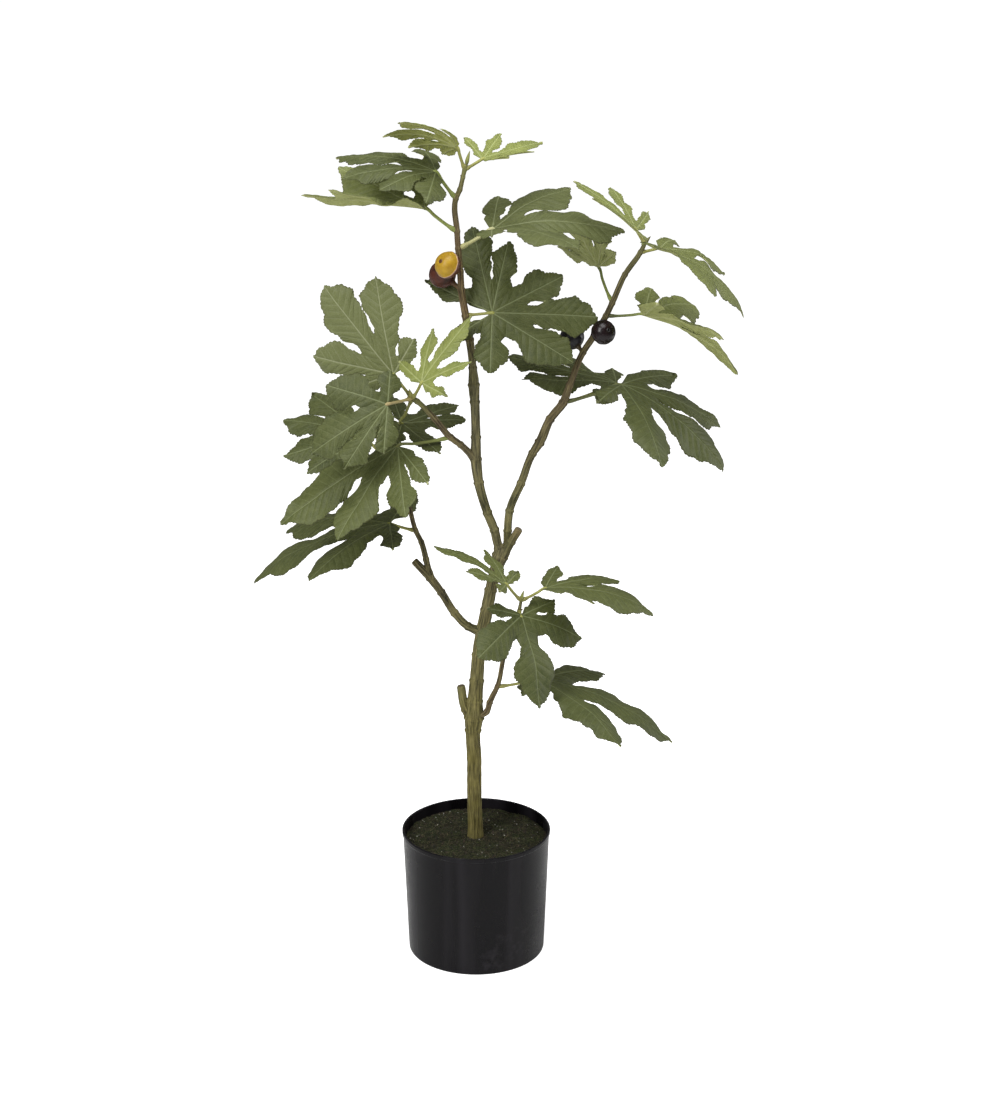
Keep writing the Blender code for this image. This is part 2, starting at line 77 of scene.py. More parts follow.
def set_up_studio():
    """Floor, white room, lamps and the camera."""
    bpy.context.scene.view_settings.view_transform = "Standard"
    bpy.ops.mesh.primitive_plane_add(size=FLOOR_SIZE)
    floor = bpy.context.object
    floor.name = "floor"
    paint = bpy.data.materials.new("white_floor")
    paint.use_nodes = True
    tree = paint.node_tree
    shader = tree.nodes["Principled BSDF"]
    shader.inputs["Base Color"].default_value = (0.93, 0.93, 0.93, 1.0)
    shader.inputs["Roughness"].default_value = 0.9
    shader.inputs["Specular IOR Level"].default_value = 0.0
    glow = tree.nodes.new("ShaderNodeEmission")
    glow.inputs["Strength"].default_value = FLOOR_GLOW
    both = tree.nodes.new("ShaderNodeAddShader")
    tree.links.new(shader.outputs[0], both.inputs[0])
    tree.links.new(glow.outputs[0], both.inputs[1])
    lit_for_camera(tree, both.outputs[0], shader.outputs[0],
                   tree.nodes["Material Output"].inputs["Surface"])
    floor.data.materials.append(paint)

    world = bpy.data.worlds.new("white_room")
    world.use_nodes = True
    tree = world.node_tree
    room = tree.nodes["Background"]
    room.inputs["Color"].default_value = (1.0, 1.0, 1.0, 1.0)
    room.inputs["Strength"].default_value = ROOM_LIGHT
    backdrop = tree.nodes.new("ShaderNodeBackground")
    backdrop.inputs["Color"].default_value = (1.0, 1.0, 1.0, 1.0)
    lit_for_camera(tree, backdrop.outputs[0], room.outputs[0],
                   tree.nodes["World Output"].inputs["Surface"])
    bpy.context.scene.world = world

    for name, (place, size, power, target) in LAMPS.items():
        light = bpy.data.lights.new(name, "AREA")
        light.shape = "RECTANGLE"
        light.size, light.size_y = size
        light.energy = power
        lamp = bpy.data.objects.new(name, light)
        lamp.location = place
        way = np.array(target) - np.array(place)
        yaw = math.atan2(-way[0], way[1])
        tilt = math.atan2(way[2], math.hypot(way[0], way[1]))
        lamp.rotation_euler = (tilt + math.pi / 2, 0.0, yaw)
        bpy.context.scene.collection.objects.link(lamp)

    eye = bpy.data.cameras.new("camera")
    eye.lens = CAMERA_LENS
    camera = bpy.data.objects.new("camera", eye)
    camera.location = CAMERA_PLACE
    camera.rotation_euler = (math.radians(90.0 - CAMERA_PITCH), 0.0, 0.0)
    bpy.context.scene.collection.objects.link(camera)
    bpy.context.scene.camera = camera


set_up_studio()

# ---------------------------------------------------------------------------- the pot
# A thin pot of black plastic, moulded in one piece: flat floor, slightly
# flared wall and a thin lip.  Its satin skin is a little scuffed by handling.

POT_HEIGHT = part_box("pot")[1][2]
POT_RIM = 0.0800
POT_BASE = 0.0745
POT_WALL = 0.0016
POT_LIP = 0.0008
POT_SIDES = 192


class Value:
    """A socket of a material; arithmetic on it adds Math nodes."""

    def __init__(self, finish, socket):
        self.finish = finish
        self.socket = socket

    def math(self, operation, *others, swapped=False):
        """A Math node on this value and up to two others."""
        terms = [self, *others]
        if swapped:
            terms.reverse()
        return self.finish.node("ShaderNodeMath", {"operation": operation}, dict(enumerate(terms)))

    def __add__(self, other):
        return self.math("ADD", other)

    def __radd__(self, other):
        return self.math("ADD", other, swapped=True)

    def __sub__(self, other):
        return self.math("SUBTRACT", other)

    def __rsub__(self, other):
        return self.math("SUBTRACT", other, swapped=True)

    def __mul__(self, other):
        return self.math("MULTIPLY", other)

    def __truediv__(self, other):
        return self.math("DIVIDE", other)

    def size(self):
        """The value without its sign."""
        return self.math("ABSOLUTE")

    def clipped(self):
        """The value kept between 0 and 1."""
        node = self.finish.tree.nodes.new("ShaderNodeClamp")
        self.finish.tree.links.new(self.socket, node.inputs[0])
        return Value(self.finish, node.outputs[0])


class Finish:
    """A material made of nodes, each added with its settings and its inputs."""

    def __init__(self, name, **constants):
        self.material = bpy.data.materials.new(name)
        self.material.use_nodes = True
        self.tree = self.material.node_tree
        self.shader = self.tree.nodes["Principled BSDF"]
        for socket, value in constants.items():
            self.shader.inputs[socket.replace("_", " ")].default_value = value

    def node(self, kind, settings=None, inputs=None, output=0):
        """A node of any kind: its settings first, then values or links for its inputs."""
        node = self.tree.nodes.new(kind)
        for setting, value in (settings or {}).items():
            if setting == "stops":
                self.set_stops(node.color_ramp, value)
            else:
                setattr(node, setting, value)
        for key, value in (inputs or {}).items():
            if isinstance(value, Value):
                self.tree.links.new(value.socket, node.inputs[key])
            elif isinstance(value, tuple) and node.inputs[key].type == "RGBA":
                node.inputs[key].default_value = (*value, 1.0)
            else:
                node.inputs[key].default_value = value
        return Value(self, node.outputs[output])

    def set_stops(self, ramp, stops):
        """Puts a colour ramp's stops where they are asked for."""
        while len(ramp.elements) < len(stops):
            ramp.elements.new(0.5)
        for element, (place, colour) in zip(ramp.elements, stops):
            element.position = place
            element.color = (*colour, 1.0)

    def place(self):
        """Coordinates of the piece itself, in metres."""
        return self.node("ShaderNodeTexCoord", output="Object")

    def tint(self):
        """The colour that each point of the piece carries."""
        return self.node("ShaderNodeAttribute", {"attribute_name": "tint"}, output="Color")

    def parts(self, kind, value):
        """All outputs of a node that takes a colour or a place apart."""
        outputs = self.node(kind, None, {0: value}).socket.node.outputs
        return [Value(self, output) for output in outputs]

    def noise(self, scale, detail=3.0, where=None, roughness=0.55):
        """Cloudy noise from 0 to 1, at so many waves a metre."""
        return self.node("ShaderNodeTexNoise", None, {
            "Vector": where or self.place(), "Scale": scale, "Detail": detail,
            "Roughness": roughness})

    def mixed(self, share, first, second):
        """The first colour, turning to the second as the share goes to 1."""
        return self.node("ShaderNodeMix", {"data_type": "RGBA"}, {0: share, 6: first, 7: second},
                         output=2)

    def between(self, value, low, high):
        """0 where the value is at low and 1 where it is at high, straight between."""
        return ((value - low) / (high - low)).clipped()

    def bump(self, height, depth, strength=1.0):
        """Fine relief of that depth in metres, on the shader's normal."""
        relief = self.node("ShaderNodeBump", None, {
            "Height": height, "Distance": depth, "Strength": strength})
        self.use("Normal", relief)

    def use(self, socket, value):
        """Feeds one of the shader's sockets."""
        self.tree.links.new(value.socket, self.shader.inputs[socket])

    def done(self, coat, roughness, height, depth, strength=1.0):
        """The material, given its colour, its roughness and its fine relief."""
        self.use("Base Color", coat)
        self.use("Roughness", roughness)
        self.bump(height, depth, strength)
        return self.material


def make_piece(name, points, faces, materials, replaces=(), face_material=None,
               corner_uv=None, colours=None):
    """A mesh piece on the root body from arrays of points and faces.

    corner_uv has one pair for each face corner, and colours one colour for each point.
    """
    mesh = bpy.data.meshes.new(name)
    if isinstance(faces, np.ndarray):
        faces = faces.tolist()
    mesh.from_pydata(points.tolist(), [], faces)
    if face_material is not None:
        mesh.polygons.foreach_set("material_index", np.asarray(face_material, dtype=np.int32))
    if corner_uv is not None:
        layer = mesh.uv_layers.new(name="lie")
        layer.data.foreach_set("uv", np.asarray(corner_uv, dtype=np.float32).ravel())
    if colours is not None:
        layer = mesh.attributes.new("tint", "FLOAT_COLOR", "POINT")
        opaque = np.column_stack((colours, np.ones(len(colours)))).astype(np.float32)
        layer.data.foreach_set("color", opaque.ravel())
    mesh.shade_smooth()
    mesh.update()
    piece = bpy.data.objects.new(name, mesh)
    bpy.context.scene.collection.objects.link(piece)
    for material in materials:
        mesh.materials.append(material)
    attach(piece, "root")
    if replaces:
        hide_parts(*replaces)
    return piece


def turns(sides):
    """The angles of so many corners, evenly spaced round a ring."""
    return np.linspace(0.0, 2.0 * math.pi, sides, endpoint=False)


def ring_faces(rings, sides):
    """Faces of a closed surface of rings, one after another, whose two poles come last."""
    ring = np.arange(sides)
    after = np.roll(ring, -1)
    row = sides * np.arange(rings - 1)[:, None]
    faces = np.stack((row + ring, row + sides + ring, row + sides + after, row + after),
                     axis=2).reshape(-1, 4).tolist()
    pole = np.full(sides, sides * rings)
    last = sides * (rings - 1)
    faces += np.column_stack((pole, ring, after)).tolist()
    faces += np.column_stack((pole + 1, last + after, last + ring)).tolist()
    return faces


def per_point(values, sides):
    """A value for each ring as a value for each point, with 0 and 1 at the two poles."""
    return np.concatenate((np.repeat(values, sides), (0.0, 1.0)))


def lathe(profile, sides):
    """Points and faces of a profile turned round Z.

    The profile runs from pole to pole with the outer side downwards.  A point at
    radius r and height z, turned by the angle a, is (r cos a, r sin a, z).  The
    first and last rings are single points on the axis.
    """
    profile = np.array(profile)
    angle = turns(sides)
    rings = profile[1:-1]
    points = np.stack((rings[:, :1] * np.cos(angle), rings[:, :1] * np.sin(angle),
                       np.repeat(rings[:, 1:], sides, axis=1)), axis=2).reshape(-1, 3)
    points = np.vstack((points, (0.0, 0.0, profile[0, 1]), (0.0, 0.0, profile[-1, 1])))
    return points, ring_faces(len(rings), sides)


def rounded(corners, steps=5):
    """The corners of a profile (radius, height, rounding) with each one cut to a small arc.

    An arc is a quadratic curve: it leaves the corner's first side at the rounding's
    distance, is drawn to the corner, and joins the second side as far along.
    """
    line = []
    for i, (radius, height, cut) in enumerate(corners):
        here = np.array((radius, height))
        if cut == 0.0 or i in (0, len(corners) - 1):
            line.append(here)
            continue
        before = np.array(corners[i - 1][:2]) - here
        after = np.array(corners[i + 1][:2]) - here
        start = here + before / np.linalg.norm(before) * cut
        end = here + after / np.linalg.norm(after) * cut
        share = np.linspace(0.0, 1.0, steps)[:, None]
        line += list((1 - share) ** 2 * start + 2 * share * (1 - share) * here + share ** 2 * end)
    return np.array(line)


def pot_plastic():
    """Satin black plastic with faint scuffs, duller where it is smudged, and faint upright lighter
    bands that are painted reflections.
    """
    finish = Finish("black_plastic", Metallic=0.0, Specular_IOR_Level=0.16)
    place = finish.place()
    stretched = finish.node("ShaderNodeMapping", None, {"Vector": place, "Scale": (1.0, 1.0, 0.08)})
    scuffs = finish.noise(420.0, 4.0, stretched)
    clouds = finish.noise(16.0, 3.0)
    grain = finish.noise(2600.0, 2.0)
    # Painted reflections: soft upright lighter bands round the pot stand in for reflected lamp
    # light; they also make the plastic a little rougher there.
    upright = finish.node("ShaderNodeMapping", None, {
        "Vector": place, "Location": (0.61, 0.30, 0.0), "Scale": (1.0, 1.0, 0.05)})
    painted_reflection_bands = finish.between(finish.noise(30.0, 2.0, upright), 0.47, 0.66)
    smudges = finish.between(finish.noise(75.0, 5.0, roughness=0.62), 0.52, 0.68)
    smudges = smudges * finish.between(finish.noise(11.0, 2.0), 0.50, 0.62)
    coat = finish.mixed(painted_reflection_bands * 0.55 + smudges * 0.60 + scuffs * 0.12,
                        (0.0022, 0.0018, 0.0025), (0.022, 0.0195, 0.0235))
    return finish.done(coat, 0.22 + clouds * 0.08 + painted_reflection_bands * 0.10 + smudges * 0.15,
                       grain * 0.6 + scuffs * 0.4, 0.00006)


def make_pot():
    """The pot's wall has the slope from its base to its rim; the lip stands out from it."""
    rim = POT_RIM + POT_LIP
    lip_low = POT_HEIGHT - 0.0040

    def wall(height):
        return POT_BASE + (POT_RIM - POT_BASE) * height / POT_HEIGHT

    corners = (
        (0.0, 0.0046, 0.0), (0.030, 0.0030, 0.004), (wall(0.003) - POT_WALL, 0.0030, 0.0030),
        (wall(POT_HEIGHT) - POT_WALL, POT_HEIGHT, 0.0005), (rim, POT_HEIGHT, 0.0005),
        (rim, lip_low, 0.0005), (wall(lip_low - POT_LIP), lip_low - POT_LIP, 0.0006),
        (wall(0.004), 0.0040, 0.0), (wall(0.0), 0.0, 0.0022), (0.064, 0.0, 0.0010),
        (0.063, 0.0012, 0.0006), (0.0, 0.0012, 0.0))
    line = rounded(corners)
    extra = []
    for first, second in zip(line[:-1], line[1:]):
        pieces = max(1, int(np.linalg.norm(second - first) / 0.008))
        share = np.arange(pieces)[:, None] / pieces
        extra += list(first + (second - first) * share)
    extra.append(line[-1])
    points, faces = lathe(extra, POT_SIDES)
    make_piece("black_pot", points, faces, [pot_plastic()], ["pot"])


make_pot()

# --------------------------------------------------------------------------- the soil
# Dark potting soil fills the pot to a finger's breadth below the rim.  It is
# matted with moss and root fibres, with some bark chips and a few white grains.

SOIL_RADIUS = POT_RIM - POT_WALL - 0.0008
SOIL_LEVEL = 0.1290
SOIL_FLOOR = 0.118              # underside of the finely modelled top layer
SOIL_RINGS = 110
SOIL_SPOKES = 300
TRUNK_FOOT_X = -0.001


def rolling(x, y, wave, seed):
    """Soft bumps from -1 to 1: the mean of nine sine waves that run in random directions.

    Each wave is the sine of the distance along its direction over a wave length
    that lies within a third of the one asked for, plus a random phase.
    """
    draw = np.random.default_rng(seed)
    turn = draw.uniform(0.0, 2.0 * math.pi, 9)
    pitch = 2.0 * math.pi / (wave * draw.uniform(0.67, 1.33, 9))
    phase = draw.uniform(0.0, 2.0 * math.pi, 9)
    along = (np.multiply.outer(x, np.cos(turn)) + np.multiply.outer(y, np.sin(turn))) * pitch
    return np.sin(along + phase).mean(axis=-1) * 2.0


def soil_height(x, y):
    """The soil's height: a low mound, lumps of three sizes, and a dip at the pot's wall."""
    away = np.hypot(x, y)
    mound = 0.0014 * (1.0 - (away / SOIL_RADIUS) ** 2)
    lumps = (0.0010 * rolling(x, y, 0.030, 1) + 0.0007 * rolling(x, y, 0.011, 2)
             + 0.0006 * rolling(x, y, 0.0045, 3) + 0.0003 * rolling(x, y, 0.0018, 4))
    return SOIL_LEVEL + mound + lumps - 0.0008 * (away / SOIL_RADIUS) ** 8


def soil_finish():
    """Crumbly dark earth, greener where the moss grows."""
    finish = Finish("dark_soil", Metallic=0.0, Specular_IOR_Level=0.2)
    crumbs = finish.noise(700.0, 6.0, roughness=0.7)
    moss = finish.between(finish.noise(55.0, 5.0), 0.42, 0.62)
    earth = finish.mixed(finish.between(crumbs, 0.35, 0.68), (0.010, 0.009, 0.005),
                         (0.050, 0.042, 0.024))
    return finish.done(
        finish.mixed(moss * 0.75, earth, (0.030, 0.040, 0.014)),
        0.82 + crumbs * 0.15, crumbs, 0.0012)


def make_soil():
    """A disc of rings whose height is soil_height, closed below by a plain skirt and floor."""
    reach = np.linspace(0.0, 1.0, SOIL_RINGS)[1:] * SOIL_RADIUS
    angle = turns(SOIL_SPOKES)
    x = np.outer(reach, np.cos(angle))
    y = np.outer(reach, np.sin(angle))
    rings = np.stack((x, y, soil_height(x, y)), axis=2)
    skirt = rings[-1].copy()
    skirt[:, 2] = SOIL_FLOOR
    grid = np.concatenate((rings, skirt[None]), axis=0)
    points = grid.reshape(-1, 3)
    centre = np.array(((0.0, 0.0, float(soil_height(0.0, 0.0))), (0.0, 0.0, SOIL_FLOOR)))
    points = np.vstack((points, centre))
    make_piece("potting_soil", points, ring_faces(len(grid), SOIL_SPOKES), [soil_finish()],
               ["soil"])


def tinted_finish(name, roughness, grain, depth):
    """A matt finish in the points' own tint, with a light and dark grain."""
    finish = Finish(name, Metallic=0.0)
    tint = finish.tint()
    speck = finish.noise(grain, 4.0)
    return finish.done(
        finish.mixed(speck * 0.45, tint, (0.012, 0.012, 0.006)),
        roughness + speck * 0.1, speck, depth)


def scattered(count, seed, inner=0.010, outer=SOIL_RADIUS - 0.0025):
    """Random places on the soil round the trunk, evenly thick over the area."""
    draw = np.random.default_rng(seed)
    away = np.sqrt(draw.uniform(inner ** 2, outer ** 2, count))
    angle = draw.uniform(0.0, 2.0 * math.pi, count)
    x = away * np.cos(angle) + TRUNK_FOOT_X
    y = away * np.sin(angle)
    return x, y, soil_height(x, y), draw


def picked_tints(draw, tints, count, low, high, points_each):
    """One of the tints for each of the count bits, made lighter or darker at random."""
    tints = np.array(tints)
    pick = tints[draw.integers(0, len(tints), count)] * draw.uniform(low, high, (count, 1))
    return np.repeat(pick, points_each, axis=0)


def make_fibres(name, count, seed, length, width, lift, tints):
    """Root fibres and moss blades: bent three-sided slivers, each of five rings.

    A fibre's middle line is an arch: it runs a length across the soil in a random
    direction, bends sideways by a fifth of it and rises as the sine of the way along.
    """
    x, y, _, draw = scattered(count, seed)
    turn = draw.uniform(0.0, 2.0 * math.pi, count)
    long = length * draw.uniform(0.5, 1.3, count)
    bend = draw.uniform(-0.35, 0.35, count)
    rise = lift * draw.uniform(0.2, 1.3, count)
    wide = width * draw.uniform(0.6, 1.3, count)
    share = np.linspace(0.0, 1.0, 5)
    ahead = (share - 0.5)[None] * long[:, None]
    aside = np.sin(share * math.pi)[None] * (bend * long)[:, None]
    middle_x = x[:, None] + ahead * np.cos(turn)[:, None] - aside * np.sin(turn)[:, None]
    middle_y = y[:, None] + ahead * np.sin(turn)[:, None] + aside * np.cos(turn)[:, None]
    away = np.hypot(middle_x, middle_y)
    shrink = np.minimum(1.0, (SOIL_RADIUS - 0.001) / np.maximum(away, 1e-6))
    middle_x, middle_y = middle_x * shrink, middle_y * shrink
    middle_z = soil_height(middle_x, middle_y) + np.sin(share * math.pi)[None] * rise[:, None]
    corner = np.array((0.5, 2.6, 4.7))
    thick = wide[:, None, None] * (1.0 - 0.7 * np.abs(share * 2 - 1))[None, :, None]
    side = thick * np.cos(corner)
    up = thick * np.sin(corner)
    points = np.stack((
        middle_x[:, :, None] - side * np.sin(turn)[:, None, None],
        middle_y[:, :, None] + side * np.cos(turn)[:, None, None],
        middle_z[:, :, None] + up), axis=3).reshape(-1, 3)
    base = 15 * np.arange(count)[:, None, None]
    step = 3 * np.arange(4)[None, :, None]
    here = np.arange(3)[None, None]
    after = (here + 1) % 3
    faces = np.stack((base + step + here, base + step + after, base + step + 3 + after,
                      base + step + 3 + here), axis=3).reshape(-1, 4).tolist()
    start = 15 * np.arange(count)
    faces += np.column_stack((start + 2, start + 1, start)).tolist()
    faces += np.column_stack((start + 12, start + 13, start + 14)).tolist()
    colours = picked_tints(draw, tints, count, 0.6, 1.4, 15)
    fibre = tinted_finish(name + "_fibre", 0.75, 900.0, 0.0001)
    make_piece(name, points, faces, [fibre], colours=colours)


def make_crumbs(name, count, seed, size, tints):
    """Grains and chips half sunk in the soil: seven-sided lumps, each stretched at random.

    A lump is a ball of three rings between two poles, whose every corner is moved
    in or out by up to a quarter.
    """
    x, y, z, draw = scattered(count, seed)
    turn = turns(7)
    rings = [(0.62, 0.78), (1.0, 0.0), (0.66, -0.75)]
    ball = [(0.0, 0.0, 1.0)]
    ball += [(r * math.cos(a), r * math.sin(a), h) for r, h in rings for a in turn]
    ball = np.array(ball + [(0.0, 0.0, -1.0)])
    scale = size * draw.uniform(0.5, 1.25, (count, 1, 1)) * draw.uniform(0.7, 1.3, (count, 1, 3))
    lumps = ball[None] * scale * draw.uniform(0.78, 1.22, (count, len(ball), 1))
    spin = draw.uniform(0.0, 2.0 * math.pi, count)[:, None]
    points = np.stack((
        x[:, None] + lumps[:, :, 0] * np.cos(spin) - lumps[:, :, 1] * np.sin(spin),
        y[:, None] + lumps[:, :, 0] * np.sin(spin) + lumps[:, :, 1] * np.cos(spin),
        z[:, None] + 0.35 * size + lumps[:, :, 2]), axis=2).reshape(-1, 3)
    here = np.arange(7)
    after = (here + 1) % 7
    ball_faces = np.column_stack((np.zeros(7, int), 1 + here, 1 + after)).tolist()
    for row in (1, 8):
        ball_faces += np.column_stack((row + here, row + 7 + here, row + 7 + after)).tolist()
        ball_faces += np.column_stack((row + here, row + 7 + after, row + after)).tolist()
    ball_faces += np.column_stack((np.full(7, 22), 15 + after, 15 + here)).tolist()
    first = len(ball) * np.arange(count)[:, None, None]
    faces = (np.array(ball_faces)[None] + first).reshape(-1, 3)
    colours = picked_tints(draw, tints, count, 0.7, 1.25, len(ball))
    grain = tinted_finish(name + "_grain", 0.8, 1500.0, 0.0002)
    make_piece(name, points, faces, [grain], colours=colours)


make_soil()
make_fibres("moss", 5200, 11, 0.0045, 0.00016, 0.0014,
            ((0.038, 0.052, 0.015), (0.018, 0.025, 0.008), (0.120, 0.130, 0.048)))
make_fibres("root_fibres", 900, 12, 0.0100, 0.00017, 0.0011,
            ((0.100, 0.080, 0.044), (0.026, 0.021, 0.013), (0.190, 0.150, 0.085)))
make_crumbs("bark_chips", 520, 13, 0.0011, ((0.035, 0.026, 0.016), (0.016, 0.013, 0.009),
                                            (0.055, 0.040, 0.022)))
make_crumbs("white_grains", 90, 14, 0.00070, ((0.66, 0.64, 0.58), (0.42, 0.40, 0.34)))

# ---------------------------------------------------------------- the trunk and stems
# A knotty olive-green trunk forks into two tapering leaders, and thinner
# branches spring from them.  All are solid wood in thin bark, ringed where
# leaves once sat; two pruned stubs and one cut branch end show pale wood.

MM = 0.001
TRUNK_HEIGHT = 0.332
TRUNK_RADIUS = 0.0080
SOIL_TOP = 0.130
STEM_SIDES = 28
RING_STEP = 0.0009              # between the rings of a bark surface
RING_WIDTH = 0.0016             # of the swelling at a joint

# The trunk's points are (x in mm, share of its height, share of its radius).
TRUNK = (
    (-1, 0.00, 1.03), (-2, 0.15, 0.99), (-2, 0.27, 0.99), (-3, 0.375, 1.05),
    (-2, 0.42, 1.28), (-1, 0.48, 1.04), (1, 0.55, 0.94), (3, 0.635, 0.87),
    (7, 0.715, 0.87), (12, 0.79, 0.83), (16, 0.855, 0.79), (21, 0.92, 0.79),
    (26, 0.97, 1.03), (29, 1.00, 0.99),
)

# Every other stem is (parent, joint on it, points), and its points are
# (x, y, z, radius) in millimetres from that joint.
STEMS = {
    "trunk_stub": ("trunk", 4, (
        (0, 0, -3, 4.6), (-5, 0, 2, 4.8), (-9, 0, 10, 4.8), (-14, 0, 37, 4.6),
    )),
    "fork_stub": ("trunk", 13, ((0, -2, -10, 4.2), (9, -7, 8, 4.2), (17, -10, 23, 4.2))),
    "left_leader": ("trunk", 13, (
        (-4, -1, 0, 4.6), (-9, 0, 19, 4.7), (-16, 1, 37, 4.7), (-25, 3, 69, 5.0),
        (-28, 4, 94, 5.7), (-28, 5, 118, 4.9), (-29, 7, 155, 4.9), (-30, 8, 173, 5.7),
        (-31, 8, 191, 4.1), (-34, 4, 221, 4.1), (-38, -4, 248, 3.8), (-42, -9, 275, 3.5),
        (-43, -10, 294, 3.3), (-45, -10, 317, 3.0), (-46, -9, 334, 3.0), (-47, -7, 367, 2.7),
        (-43, -7, 376, 2.5), (-40, -7, 388, 2.2), (-38, -7, 396, 2.2), (-36, -7, 402, 1.2),
    )),
    "right_leader": ("trunk", 13, (
        (4, 4, -1, 4.3), (5, 4, 17, 4.2), (7, 5, 38, 4.2), (19, 6, 68, 4.2),
        (31, 7, 100, 4.2), (38, 8, 111, 4.9), (49, 9, 136, 4.4), (62, 10, 153, 4.4),
        (69, 11, 172, 3.6), (82, 10, 206, 3.3), (93, 7, 224, 3.3), (105, 3, 246, 3.1),
        (111, 0, 260, 3.0), (123, -6, 290, 2.8), (138, -12, 314, 2.5), (142, -14, 323, 2.0),
    )),
    "left_branch": ("left_leader", 4, (
        (0, 0, 0, 3.9), (-16, -7, 18, 3.4), (-26, -12, 27, 3.4), (-42, -21, 49, 3.1),
        (-59, -29, 69, 2.8), (-64, -31, 73, 3.1),
    )),
    "lower_left_branch": ("trunk", 8, (
        (0, 0, 0, 4.6), (-15, 1, 6, 4.3), (-29, 3, 20, 4.2), (-43, 6, 42, 4.2),
        (-55, 8, 58, 4.5), (-72, 11, 76, 4.0),
    )),
    "lower_left_twig": ("lower_left_branch", 4, (
        (0, 0, 0, 3.5), (-4, 3, 19, 3.2), (-9, 7, 37, 2.9), (-15, 10, 49, 2.6),
        (-21, 14, 71, 2.5), (-28, 19, 94, 2.4), (-33, 23, 114, 2.1),
    )),
    "lower_right_twig": ("trunk", 4, (
        (0, 0, 0, 3.4), (14, -7, 10, 3.2), (17, -9, 21, 3.2), (25, -14, 41, 2.7),
        (35, -22, 87, 2.4), (43, -25, 103, 2.1), (48, -31, 132, 2.1), (50, -32, 144, 1.6),
    )),
}
CUT_ENDS = ("trunk_stub", "fork_stub", "lower_left_branch")

# Where the two leaders start inside the fork, in mm from their first points.
SUNK_FEET = {"left_leader": (3, 1, -6), "right_leader": (-2, -2, -6)}

# Bark colours along each stem, from its foot to its end.
OLIVE = (0.150, 0.126, 0.023)
MOSSY = (0.108, 0.110, 0.046)
GREY = (0.120, 0.110, 0.064)
BROWN = (0.098, 0.062, 0.042)
RUSSET = (0.135, 0.066, 0.042)
DARK = (0.026, 0.020, 0.015)
GREEN = (0.200, 0.230, 0.070)
BARKS = {
    "trunk": (OLIVE, OLIVE, (0.15, 0.135, 0.040), (0.13, 0.12, 0.050), GREY),
    "trunk_stub": (OLIVE, (0.13, 0.13, 0.05)),
    "fork_stub": (GREY, MOSSY, BROWN),
    "left_leader": (GREY, MOSSY, GREY, (0.12, 0.12, 0.072), GREY, RUSSET, RUSSET, BROWN, GREEN),
    "right_leader": (MOSSY, MOSSY, (0.075, 0.060, 0.035), BROWN, BROWN, (0.075, 0.060, 0.035),
                     (0.12, 0.13, 0.05)),
    "left_branch": (GREY, BROWN, BROWN, GREEN),
    "lower_left_branch": ((0.070, 0.072, 0.030), (0.060, 0.058, 0.028),
                          (0.045, 0.036, 0.022), DARK),
    "lower_left_twig": (DARK, DARK, BROWN, MOSSY),
    "lower_right_twig": (BROWN, (0.10, 0.06, 0.032), (0.10, 0.07, 0.035), (0.12, 0.13, 0.05)),
}


def stem_routes():
    """Each stem's points and radii, worked out from the stem that it springs from."""
    routes = {"trunk": (
        np.array([(x * MM, 0.0, SOIL_TOP + share * TRUNK_HEIGHT) for x, share, _ in TRUNK]),
        np.array([thick * TRUNK_RADIUS for _, _, thick in TRUNK]))}
    for name, (parent, joint, route) in STEMS.items():
        route = np.array(route) * MM
        routes[name] = (routes[parent][0][joint] + route[:, :3], route[:, 3])
    return routes


def smooth(knots, count):
    """A smooth curve through the knots, as count points evenly spaced by knot distance.

    Between two knots it is the cubic whose slope at a knot is the slope from the
    knot before to the knot after (a Catmull-Rom curve).
    """
    knots = np.asarray(knots, dtype=float)
    gap = np.linalg.norm(np.diff(knots[:, :3], axis=0), axis=1)
    at = np.concatenate(((0.0,), np.cumsum(gap)))
    slope = np.gradient(knots, at, axis=0)
    want = np.linspace(0.0, at[-1], count)
    span = np.clip(np.searchsorted(at, want, side="right") - 1, 0, len(gap) - 1)
    width = gap[span][:, None]
    t = ((want - at[span]) / gap[span])[:, None]
    return ((2 * t ** 3 - 3 * t ** 2 + 1) * knots[span]
            + (t ** 3 - 2 * t ** 2 + t) * width * slope[span]
            + (3 * t ** 2 - 2 * t ** 3) * knots[span + 1]
            + (t ** 3 - t ** 2) * width * slope[span + 1])


def unit(vectors):
    """Vectors of the same direction and length one."""
    vectors = np.asarray(vectors, dtype=float)
    return vectors / np.linalg.norm(vectors, axis=-1, keepdims=True)


def carried(line, radii, sides, cap_bulge=0.0):
    """A surface round a line: ring i has the radii of row i, at right angles to the line.

    A fixed direction, made square to the line, gives each ring's start, so the rings
    don't twist.  Both ends are closed by a point, moved out by a share of the radius.
    """
    ahead = unit(np.gradient(line, axis=0))
    runs_back = abs(ahead[:, 1]).mean() >= 0.8
    fixed = (1.0, 0.1, 0.2) if runs_back else (0.31, 0.95, 0.05)
    across = unit(np.cross(ahead, fixed))
    up = np.cross(across, ahead)
    angle = turns(sides)
    points = (line[:, None] + radii[:, :, None] * (np.cos(angle)[None, :, None] * across[:, None]
              + np.sin(angle)[None, :, None] * up[:, None])).reshape(-1, 3)
    ends = np.array((line[0] - ahead[0] * radii[0].mean() * cap_bulge,
                     line[-1] + ahead[-1] * radii[-1].mean() * cap_bulge))
    points = np.vstack((points, ends))
    return points, ring_faces(len(line), sides)


def blended(colours, share):
    """Colours met one after another as the share goes from 0 to 1."""
    colours = np.array(colours)
    at = np.linspace(0.0, 1.0, len(colours))
    return np.column_stack([np.interp(share, at, colours[:, i]) for i in range(3)])


